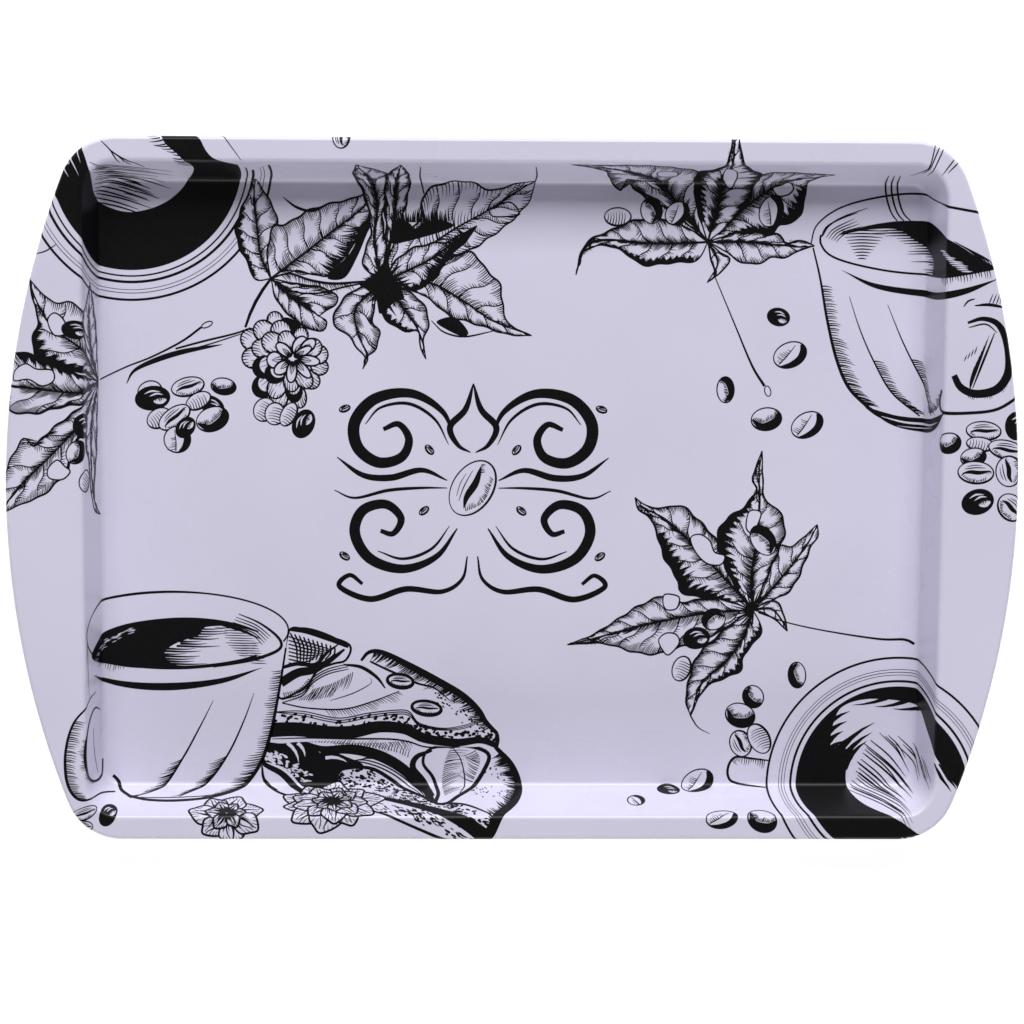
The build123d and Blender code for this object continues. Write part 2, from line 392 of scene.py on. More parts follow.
def tinplate():
    """Lacquered tinplate: rolling grain along the sheet, faint scuffs, soft metal gloss."""
    material, nodes, links = node_material("tinplate")
    shader = nodes["Principled BSDF"]
    shader.inputs["Metallic"].default_value = 1.0
    place = add(nodes, "ShaderNodeTexCoord")
    stretch = add(nodes, "ShaderNodeMapping", Scale=(12.0, 1100.0, 40.0))
    lines = add(nodes, "ShaderNodeTexNoise", Scale=1.0, Detail=5.0)
    spangle = add(nodes, "ShaderNodeTexVoronoi", Scale=260.0)
    scuff = add(nodes, "ShaderNodeTexNoise", Scale=30.0, Detail=6.0)
    mix = weigh(nodes, 0.35)
    tint = ramp(nodes, (0.0, (0.46, 0.46, 0.47)), (1.0, (0.72, 0.71, 0.70)))
    rough = add(nodes, "ShaderNodeMapRange", To_Min=0.26, To_Max=0.48)
    grain = add(nodes, "ShaderNodeBump", Strength=0.12, Distance=0.00005)
    wire(links, *[(place, "Object", texture, "Vector") for texture in (stretch, spangle, scuff)],
         (stretch, "Vector", lines, "Vector"),
         (spangle, "Distance", mix, 0), (lines, "Fac", mix, 2), (mix, 0, tint, "Fac"),
         (tint, "Color", shader, "Base Color"),
         (scuff, "Fac", rough, "Value"), (rough, "Result", shader, "Roughness"),
         (lines, "Fac", grain, "Height"), (grain, "Normal", shader, "Normal"))
    return material


def pale_floor():
    """Matt, slightly glowing paper under the tray."""
    material, nodes, _ = node_material("pale_floor")
    values = {"Base Color": (0.30, 0.30, 0.30, 1), "Roughness": 0.9, "Specular IOR Level": 0.1,
              "Emission Color": (1, 1, 1, 1), "Emission Strength": 0.90}
    for entry, value in values.items():
        nodes["Principled BSDF"].inputs[entry].default_value = value
    return material


ENAMEL = enamel()
BLACK_INK = black_ink()
TINPLATE = tinplate()

pan = shell("tray_sheet", 0.0, SHEET, TINPLATE)
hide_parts("tinplate_pan")
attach(pan, "root")

coat = shell("tray_base_coat", SHEET, FACE, ENAMEL)
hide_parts("white_enamel")
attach(coat, "root")

# ---- line art on the flat sheet ------------------------------------------------------
HAIRLINE = 0.05                          # no stroke gets thinner than this
HOLE_EDGE = 0.45                         # line round a hole in a leaf
SHORT_PATH = 6                           # strokes with no more points than this are one outline


def curve(points, closed=False, step=1.1):
    """Smooth line through given points."""
    p = np.asarray(points, float)
    if closed:
        p = np.concatenate([p[-1:], p, p[:2]])
    else:
        p = np.concatenate([2 * p[:1] - p[1:2], p, 2 * p[-1:] - p[-2:-1]])
    parts = []
    for a, b, c, d in zip(p, p[1:], p[2:], p[3:]):
        count = max(2, int(np.hypot(*(c - b)) / step))
        t = (np.arange(count) / count)[:, None]
        bend = (2 * a - 5 * b + 4 * c - d) * t**2 + (3 * b - a - 3 * c + d) * t**3
        parts.append(b + ((c - a) * t + bend) / 2)
    if not closed:
        parts.append(p[-2:-1])
    return np.concatenate(parts)


def oval(x, y, long, wide, turn=0.0, start=0.0, stop=360.0, step=1.0):
    """Ellipse, or the part of it between two angles; turn tips its long axis."""
    span = math.radians(stop - start)
    count = max(8, int(abs(span) * max(long, wide) / step))
    angles = math.radians(start) + span * np.arange(count + 1) / count
    ex, ey = long * np.cos(angles), wide * np.sin(angles)
    c, s = math.cos(math.radians(turn)), math.sin(math.radians(turn))
    ring = np.stack([x + ex * c - ey * s, y + ex * s + ey * c], 1)
    return ring[:-1] if stop - start == 360.0 else ring


def along(path, t):
    """Point at a fraction of a path's length."""
    steps = np.hypot(*np.diff(path, axis=0).T)
    at = np.concatenate([[0.0], np.cumsum(steps)])
    want = min(max(t, 0.0), 1.0) * at[-1]
    return np.array([np.interp(want, at, path[:, 0]), np.interp(want, at, path[:, 1])])


def part_of(path, start, stop, count=12):
    """Stretch of a path between two fractions of its length."""
    return np.array([along(path, start + (stop - start) * i / count) for i in range(count + 1)])


def bowed(a, b, bulge):
    """Five points from a to b, bulging to the left of the way by a share of its length."""
    a, b = np.asarray(a, float), np.asarray(b, float)
    across = np.array([a[1] - b[1], b[0] - a[0]]) * bulge
    t = np.linspace(0, 1, 5)[:, None]
    return a + (b - a) * t + across * 4 * t * (1 - t)


def between(first, second):
    """Outline along one smooth line and back along another that shares its ends."""
    return np.concatenate([curve(first), curve(second)[1:-1]])


def closed(path):
    """Path that comes back to its first point."""
    return np.concatenate([path, path[:1]])


def ripple(path, height, length=8.5):
    """Path with a gentle wave across it that dies out at both ends."""
    heading = np.gradient(path, axis=0)
    heading /= np.maximum(np.hypot(*heading.T), 1e-9)[:, None]
    at = np.concatenate([[0.0], np.cumsum(np.hypot(*np.diff(path, axis=0).T))])
    wave = height * np.sin(2 * math.pi * at / length) * np.sin(math.pi * at / at[-1])
    return path + wave[:, None] * np.stack([-heading[:, 1], heading[:, 0]], 1)


class Print:
    """Shapes of one printed motif in painting order: a later shape covers the earlier ones."""

    def __init__(self, seed):
        self.shapes = []
        self.dice = random.Random(seed)

    def area(self, points, ink=True):
        self.shapes.append((np.asarray(points, float), ink))

    def behind(self, *fronts):
        """Leave white whatever the motifs in front of this one cover."""
        for front in fronts:
            for outline, ink in front.shapes:
                if not ink:
                    self.area(outline, False)
        return self

    def stroke(self, path, start=0.4, middle=0.5, end=0.15, ink=True):
        """Brush stroke with its width at the start, middle and end of the path."""
        path = np.asarray(path, float)
        heading = np.gradient(path, axis=0)
        heading /= np.maximum(np.hypot(*heading.T), 1e-9)[:, None]
        across = np.stack([-heading[:, 1], heading[:, 0]], 1)
        steps = np.hypot(*np.diff(path, axis=0).T)
        t = np.concatenate([[0.0], np.cumsum(steps)]) / max(steps.sum(), 1e-9)
        hump = 2 * middle - (start + end) / 2
        width = start * (1 - t) ** 2 + 2 * hump * t * (1 - t) + end * t**2
        half = (np.maximum(width, HAIRLINE) / 2)[:, None] * across
        left, right = path + half, path - half
        if len(path) <= SHORT_PATH:
            self.area(np.concatenate([left, right[::-1]]), ink)
            return
        for i in range(len(path) - 1):
            self.area([left[i], right[i], right[i + 1], left[i + 1]], ink)

    def patch(self, points, ink=True):
        """Area inside a smooth closed line."""
        self.area(curve(points, True), ink)

    def loop(self, path, start, middle=None, end=None):
        """Stroke round a closed path, of one width if only one is given."""
        self.stroke(closed(path), start, middle or start, end or start)

    def line(self, points, start=0.4, middle=0.5, end=0.2, ink=True, step=1.1):
        self.stroke(curve(points, step=step), start, middle, end, ink)

    def fan(self, base, target, count, reach=0.4, width=0.35, skew=0.0, start=0.0, stop=1.0,
            bulge=0.06, ink=True):
        """Tapered strokes from one line part of the way to another, in slow waves of length."""
        phase = self.dice.uniform(0, 6)
        for i in range(count):
            t = start + (stop - start) * (i + self.dice.uniform(0.35, 0.65)) / count
            a, b = along(base, t), along(target, t + skew)
            wave = 1 + 0.3 * math.sin(phase + i * 0.75) + self.dice.uniform(-0.16, 0.16)
            far = a + (b - a) * min(reach * wave, 0.98)
            if np.hypot(*(far - a)) > 0.4:
                wide = width * self.dice.uniform(0.85, 1.15)
                self.stroke(bowed(a, far, bulge), wide, wide * 0.75, 0.08, ink)

    def comb(self, path, side, length, gap=0.8, width=0.35, lean=0.0, start=0.0, stop=1.0,
             ink=True, aim=None):
        """Short strokes along a path: on one side (1 or -1) and leaning, or all aimed one way."""
        path = np.asarray(path, float)
        total = np.hypot(*np.diff(path, axis=0).T).sum() * (stop - start)
        count = max(2, int(total / gap))
        phase = self.dice.uniform(0, 6)
        for i in range(count):
            t = start + (stop - start) * (i + self.dice.uniform(0.3, 0.7)) / count
            a, b = along(path, t - 0.01), along(path, t + 0.01)
            heading = math.atan2(b[1] - a[1], b[0] - a[0])
            turn = heading + side * math.pi / 2 + math.radians(lean + self.dice.uniform(-4, 4))
            sway = 0.25
            if aim is not None:
                turn, sway = math.radians(aim + self.dice.uniform(-3, 3)), 0.10
            wave = 0.85 + sway * math.sin(phase + i * 0.8) + self.dice.uniform(-0.12, 0.12)
            foot = along(path, t)
            tip = foot + length * wave * np.array([math.cos(turn), math.sin(turn)])
            wide = width * self.dice.uniform(0.85, 1.2)
            self.stroke(bowed(foot, tip, 0.05), wide, wide * 0.75, 0.07, ink)

    def lobe(self, left, right, rib, veins=5, dense=1.0, dark=0.0, edge=0.6):
        """One engraved lobe of a leaf, from its heart to its tip."""
        rib = curve(rib)
        size = np.hypot(*np.diff(rib, axis=0).T).sum()
        wave = 0.35 * min(1.0, size / 40)
        left, right = ripple(curve(left), wave), ripple(curve(right), wave)
        self.area(np.concatenate([left, right[-2:0:-1]]), False)
        count = max(6, int(size * 1.05 * dense))
        for border in (left, right):
            self.fan(rib, border, count, 0.27, 0.42, 0.14, 0.06, 0.93)
            self.fan(border, rib, count, 0.27, 0.40, -0.12, 0.12, 0.96)
            for i in range(veins):
                t = (i + 0.7) / (veins + 0.6)
                a, b = along(rib, t), along(border, t + 0.15)
                vein = curve([a, a + (b - a) * 0.35 + (b - a)[::-1] * (-0.06, 0.06),
                              a + (b - a) * 0.7 + (b - a)[::-1] * (0.05, -0.05), b])
                self.stroke(vein, 0.5, 0.42, 0.3)
                reach = 0.22 * np.hypot(*(b - a))
                if i < veins - 1:
                    self.comb(vein, 1, min(reach, 0.3 * size / veins), 0.95, 0.34, 30, 0.2, 0.85)
        if dark:
            shadow = left if dark > 0 else right
            self.fan(shadow, rib, int(count * 1.3), min(abs(dark), 0.8), 0.85, -0.05, 0.15, 0.75)
        self.stroke(left, edge * 0.8, edge * 1.35, edge * 0.8)
        self.stroke(right, edge * 0.8, edge * 1.15, edge * 0.7)
        self.stroke(rib, 0.9, 0.7, 0.35)

    def leaf(self, heart, *lobes):
        """Lobes that share a heart: each has its tip, then its left, right and rib between."""
        for tip, left, right, rib, *style in lobes:
            self.lobe(*([heart, *way, tip] for way in (left, right, rib)), *style)

    def holes(self, *outlines):
        """Worm holes or gaps that show the white coat, with drawn borders."""
        for points in outlines:
            ring = curve(points, True, 0.8)
            self.area(ring, False)
            self.loop(ring, HOLE_EDGE, HOLE_EDGE * 1.3, HOLE_EDGE)

    def speck(self, place, longs, wides, turns, ink=True, step=0.5):
        """Small oval of random size and turn."""
        draw = self.dice.uniform
        self.area(oval(*place, draw(*longs), draw(*wides), draw(*turns), step=step), ink)

    def rings(self, x, y, rim, coffee, *lines):
        """Cup from above: its white rim, black coffee, and lines as (radius, width)."""
        self.area(oval(x, y, rim, rim), False)
        self.area(oval(x, y, coffee, coffee))
        for radius, width in lines:
            self.loop(oval(x, y, radius, radius), width)

    def beans(self, *rows):
        for row in rows:
            self.bean(*row)

    def bean(self, x, y, long, wide, turn=0.0, kind="split"):
        """Coffee bean: its split face, a deep side view, or a half, dark or pale back."""

        def place(u, v):
            c, s = math.cos(math.radians(turn)), math.sin(math.radians(turn))
            return (x + u * long * c - v * wide * s, y + u * long * s + v * wide * c)

        def run(*points):
            return curve([place(u, v) for u, v in points], step=0.7)

        def patch(*points, ink=True):
            self.area(curve([place(u, v) for u, v in points], True, 0.7), ink)

        rim = 0.55 / wide
        self.area(oval(x, y, long, wide, turn, step=0.8))
        middle = place(-0.01, rim * 0.35)
        face = oval(*middle, long - 0.55, wide * (1 - rim * 1.25), turn, step=0.7)
        if kind == "dark":
            for shift in (0.0, 0.26):
                streak = run((-0.45 + shift, 0.42 - shift), (0.0 + shift, 0.58 - shift),
                             (0.5 + shift * 0.5, 0.42 - shift))
                self.stroke(streak, 0.08, 0.15 * wide, 0.06, False)
            patch((0.0, -0.25), (0.3, -0.08), (0.66, -0.12), (0.76, -0.3), (0.5, -0.55), (0.2, -0.5),
                  ink=False)
            self.comb(run((-0.1, -0.15), (0.3, 0.02), (0.7, -0.05)), -1, 0.35 * wide, 0.5, 0.35)
            return
        self.area(face, False)
        if kind == "split":
            slot = run((-0.72, -0.16), (-0.35, 0.02), (0.2, 0.02), (0.74, 0.22))
            self.stroke(slot, 0.3, 0.34 * wide, 0.35)
            self.stroke(run((-0.6, 0.24), (-0.1, 0.40), (0.5, 0.46)), 0.2, 0.4, 0.15)
            self.stroke(run((-0.5, 0.45), (-0.1, 0.62), (0.3, 0.64)), 0.15, 0.3, 0.1)
            self.comb(run((-0.78, -0.3), (-0.2, -0.78), (0.6, -0.6)), 1, 0.28 * wide, 0.7, 0.4, -20)
            self.comb(run((0.3, 0.12), (0.8, 0.25)), -1, 0.3 * wide, 0.6, 0.35, 30)
        elif kind == "deep":
            patch((-0.82, -0.5), (-0.25, -0.52), (0.3, -0.36), (0.62, 0.02), (0.78, 0.42), (0.97, 0.1),
                  (0.86, -0.42), (0.45, -0.86), (-0.1, -0.97), (-0.6, -0.78))
            crease = run((-0.78, -0.32), (-0.2, 0.0), (0.5, 0.52))
            self.stroke(crease, 0.45, 0.4, 0.2)
            self.comb(crease, 1, 0.55 * wide, 0.8, 0.3, 8, 0.05, 0.72)
        elif kind == "half":
            patch((-0.93, 0.12), (-0.62, -0.05), (-0.3, -0.3), (0.15, -0.18), (0.5, 0.05), (0.82, 0.5),
                  (0.97, 0.0), (0.75, -0.6), (0.2, -0.94), (-0.5, -0.82))
            fold = run((-0.9, 0.1), (-0.3, -0.26), (0.5, 0.08), (0.8, 0.45))
            self.comb(fold, 1, 0.4 * wide, 0.6, 0.4, -15)
        else:
            count = max(4, int(long * 1.4))
            for i in range(count):
                u = -0.72 + 1.4 * i / count
                reach = math.sqrt(1 - u * u)
                end = self.dice.uniform(0.3, 0.7) * reach
                self.stroke(run((u - 0.04, -0.8 * reach), (u + 0.05, 0), (u, end)), 0.4, 0.3, 0.1)


FAN_STEP = 7.5                           # degrees between cuts round a corner of the walls
BEND_CUTS = 4                            # parts of a bend, which the art is cut into
ROLL_CUTS = 6                            # parts of the inked roll
BOW_POINTS, CORNER_POINTS, STRAIGHT_POINTS = 56, 10, 40
INK_TOP = FACE + INK
INK_FOOT = FACE - 0.02                   # the ink is sunk a little, so that no gap shows
KEPT_EDGE = 0.001                        # points closer than this are one


def bend_lines(low, high):
    """Lines of the flat sheet that the art must break at, near the box from low to high."""
    lines = []

    def keep(points, loop):
        pairs = list(zip(points, points[1:])) + ([(points[-1], points[0])] if loop else [])
        for a, b in pairs:
            if (np.minimum(a, b) <= high).all() and (np.maximum(a, b) >= low).all():
                lines.append((a, b))

    turns = np.arange(0, 91, FAN_STEP)
    corners = [(1, 1, 0), (-1, 1, 90), (-1, -1, 180), (1, -1, 270)]
    arcs = [(sx * CORE[0], sy * CORE[1], math.radians(first + turn))
            for sx, sy, first in corners for turn in turns]
    cx, cy, angle = np.array(arcs).T
    nx, ny = np.cos(angle), np.sin(angle)
    _, _, s0, s1, s2, s3 = wall_profile(nx, ny)
    for start, stop in ((s0, s1), (s2, s3)):
        for i in range(BEND_CUTS + 1):
            s = start + (stop - start) * i / BEND_CUTS
            keep(np.stack([cx + nx * (CORE_CORNER + s), cy + ny * (CORE_CORNER + s)], 1), True)
    for i in range(len(cx)):
        spoke = [(cx[i] + nx[i] * (CORE_CORNER + s), cy[i] + ny[i] * (CORE_CORNER + s))
                 for s in (s0[i], s3[i])]
        keep(np.array(spoke), False)
    x, y = roll_guide()
    distance, gx, gy = to_outline(x, y)
    for i in range(ROLL_CUTS + 1):
        out = ROLL_RADIUS * INK_WRAP * i / ROLL_CUTS
        keep(flat_of_flange(x + gx * (out - distance), y + gy * (out - distance)), True)
    return lines


def roll_guide():
    """Plan points along the outline."""
    bow = np.linspace(-BOW_ANGLE, BOW_ANGLE, BOW_POINTS)
    fillet = np.linspace(BOW_ANGLE, math.pi / 2, CORNER_POINTS)[1:]
    straight = np.linspace(CORNER_X, -CORNER_X, STRAIGHT_POINTS)[1:-1]
    x = [BOW_CENTRE + END_BOW * np.cos(bow), CORNER_X + CORNER * np.cos(fillet), straight]
    y = [END_BOW * np.sin(bow), CORNER_Y + CORNER * np.sin(fillet), 0 * straight + HALF_WIDTH]
    x = np.concatenate(x + [-CORNER_X - CORNER * np.cos(fillet[::-1])])
    y = np.concatenate(y + [CORNER_Y + CORNER * np.sin(fillet[::-1])])
    return np.concatenate([x, -x]), np.concatenate([y, -y])


def inside(points, outline):
    """Which points the outline winds round."""
    px, py = points[:, :1], points[:, 1:]
    (ax, ay), (bx, by) = outline.T, np.roll(outline, -1, 0).T
    side = (bx - ax) * (py - ay) - (px - ax) * (by - ay)
    up = (ay <= py) & (by > py) & (side > 0)
    down = (ay > py) & (by <= py) & (side < 0)
    return up.sum(1) != down.sum(1)


def inked(shapes, points):
    """Which points end up black once the shapes are painted in their order."""
    order = np.argsort(points[:, 0])
    ranked = points[order, 0]
    black = np.zeros(len(points), bool)
    for outline, ink in shapes:
        low, high = outline.min(0), outline.max(0)
        near = order[slice(*np.searchsorted(ranked, (low[0], high[0])))]
        near = near[(points[near, 1] > low[1]) & (points[near, 1] < high[1])]
        black[near[inside(points[near], outline)]] = ink
    return black


def cut(corners, edges, shapes):
    """Points and black triangles of the flat sheet cut along the edges."""
    flat = [Vector(corner) for corner in corners]
    points, _, triangles, *_ = delaunay_2d_cdt(flat, edges, [], 0, KEPT_EDGE)
    points, triangles = np.array([tuple(p) for p in points]), np.array(triangles)
    return points, triangles[inked(shapes, points[triangles].mean(1))]


def border(shapes):
    """Corners and edges of the line between black and white, without what is painted over."""
    corners, edges = [], []
    for outline, _ in shapes:
        first, count = len(corners), len(outline)
        edges += [(first + i, first + (i + 1) % count) for i in range(count)]
        corners += outline.tolist()
    points, triangles = cut(corners, edges, shapes)
    pairs = np.concatenate([triangles[:, :2], triangles[:, 1:], triangles[:, ::2]])
    pairs, times = np.unique(np.sort(pairs, 1), axis=0, return_counts=True)
    used, edges = np.unique(pairs[times == 1], return_inverse=True)
    return points[used].tolist(), edges.reshape(-1, 2).tolist()


def film(name, node, art):
    """Closed ink film of one print, pressed with the sheet, in place of its CAD node."""
    corners, edges = border(art.shapes)
    for a, b in bend_lines(np.min(corners, 0), np.max(corners, 0)):
        edges.append((len(corners), len(corners) + 1))
        corners += [a.tolist(), b.tolist()]
    points, triangles = cut(corners, edges, art.shapes)
    middle = points[triangles].mean(1)
    cx, cy, nx, ny, s = from_core(middle[:, 0], middle[:, 1])
    width, *_, s3 = wall_profile(nx, ny)
    plan = np.maximum(s - s3, 0) + width
    beyond, *_ = to_outline(cx + nx * (CORE_CORNER + plan), cy + ny * (CORE_CORNER + plan))
    triangles = triangles[(s < s3) | (beyond < ROLL_RADIUS * INK_WRAP)]
    used, triangles = np.unique(triangles, return_inverse=True)
    triangles = triangles.reshape(-1, 3)
    points = points[used]
    a, b, c = (points[triangles[:, i]] for i in range(3))
    flip = (b[:, 0] - a[:, 0]) * (c[:, 1] - a[:, 1]) < (b[:, 1] - a[:, 1]) * (c[:, 0] - a[:, 0])
    triangles[flip] = triangles[flip][:, ::-1]
    top, normals = pressed(points, INK_TOP)
    foot, _ = pressed(points, INK_FOOT)
    count = len(points)
    sides = {(t[i], t[(i + 1) % 3]) for t in triangles.tolist() for i in range(3)}
    walls = [(b, a, a + count, b + count) for a, b in sides if (b, a) not in sides]
    faces = triangles.tolist() + (triangles[:, ::-1] + count).tolist() + walls
    piece = new_mesh(name, np.concatenate([top, foot]), faces,
                     np.concatenate([normals, -normals]), BLACK_INK)
    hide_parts(node)
    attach(piece, "root")


# ---- the printed motifs --------------------------------------------------------------
def cup_above_upper_left(art):
    art.rings(-148, 127, 55, 43, (45.3, 0.6), (47.6, 1.0), (50.6, 0.2), (51.9, 0.25), (54.5, 0.9))
    art.patch([(-170, 152), (-170.5, 138), (-169, 126), (-166, 116), (-160, 110), (-151, 106.6),
            (-143, 107), (-134, 110.5), (-127, 117), (-123.7, 126), (-123.2, 134), (-127, 140.5),
            (-133, 146), (-140, 153)], False)
    for i in range(17):
        row = i / 16
        start = (-168 + 5 * row + art.dice.uniform(-1, 3), 137.5 - 27 * row)
        run = art.dice.uniform(22, 40) * (1 - 0.3 * row)
        art.line([start, (start[0] + run / 2, start[1] - run * 0.1),
                (start[0] + run, start[1] - run * 0.26)], 0.3, 0.6, 0.12)
    for i in range(16):
        start = (-167 + 1.2 * i + art.dice.uniform(-2, 2), 136 - 1.5 * i + art.dice.uniform(-2, 2))
        run = art.dice.uniform(7, 13)
        art.line([start, (start[0] + run / 2, start[1] - run * 0.12),
                (start[0] + run, start[1] - run * 0.3)], 0.2, 0.5, 0.12)
    for dx in (0, 4, 9):
        art.line([(-160 + dx, 147 - dx * 0.6), (-154 + dx, 143 - dx * 0.6),
                (-150.5 + dx, 138 - dx * 0.6)], 0.3, 0.6, 0.3)
    for start, end in (((-181, 142), (-177, 129)), ((-176, 146), (-174, 136)), ((-186, 136),
            (-182, 127))):
        art.stroke(bowed(start, end, 0.05), 1.1, 0.8, 0.1, False)
    art.patch([(-101.5, 130), (-104, 134.5), (-110, 138.5), (-116, 141.5), (-119.5, 147), (-121, 154),
            (-88, 156), (-90, 141), (-97, 134)], False)
    art.line([(-112.5, 151), (-108.5, 145.5), (-104.5, 140)], 0.3, 0.35, 0.2)
    art.comb(curve([(-137, 150), (-129, 143), (-123, 134)]), -1, 5, 1.6, 0.5, -45)
    art.line([(-196.5, 91.5), (-193, 92.5), (-189, 95)], 0.3, 0.5, 0.2)


def cup_above_lower_right(art):
    art.rings(153, -119, 52, 40, (42.1, 0.9), (44.6, 0.2), (45.7, 0.25), (46.8, 0.2), (51.5, 0.85))
    art.patch([(130.5, -87.6), (135, -85.2), (142, -84.0), (151, -84.4), (159, -85.8), (165, -88),
            (170, -93), (176, -99), (181.5, -106), (188, -117), (190, -128), (184, -140), (170, -147.6),
            (158, -144.3), (147, -138.5), (138.5, -131), (134, -122), (133, -113), (136, -106.5),
            (132.5, -104), (129, -106), (126.5, -103), (127, -96.5), (128.5, -91)], False)
    for base, tip in (((123, -97), (134, -89)), ((123.5, -100), (133, -93)), ((124.5, -103),
            (131.5, -97)), ((125.5, -105.5), (131.5, -101)), ((128, -108.5), (144, -93.5)),
            ((130.5, -110), (143, -97.5)), ((132, -112), (141, -101)), ((128, -107), (138, -97.5))):
        art.stroke(bowed(base, tip, 0.08), 3.2, 1.8, 0.1)
    for base, tip in (((152, -82), (135, -86.5)), ((158, -84), (144, -87.2)), ((165, -86.5), (151, -88)),
            ((184, -106), (193, -134)), ((187, -111), (196, -131)), ((190, -112), (199, -128))):
        art.stroke(bowed(base, tip, 0.06), 2.2, 1.2, 0.1)
    for base, tip in (((179, -106), (185.5, -121)), ((181, -106), (188, -119)), ((183, -106),
            (189.5, -117))):
        art.stroke(bowed(base, tip, 0.04), 0.6, 1.3, 0.1)
    for i in range(19):
        t = i / 18
        start = (141 - 7 * t + art.dice.uniform(-1, 1.5), -101 - 21 * t + art.dice.uniform(-0.5, 0.5))
        run = art.dice.uniform(15, 27)
        middle = (start[0] + run * 0.5, start[1] - run * 0.42)
        art.line([start, middle, (start[0] + run * 0.92, start[1] - run * 0.95)], 0.3, 0.6, 0.12)
    for i in range(13):
        start = (146 + 1.9 * i + art.dice.uniform(-1, 1), -98 - 0.9 * i + art.dice.uniform(-3, 3))
        run = art.dice.uniform(7, 15)
        art.line([start, (start[0] + run * 0.5, start[1] - run * 0.5),
                (start[0] + run * 0.85, start[1] - run * 1.1)], 0.2, 0.5, 0.12)


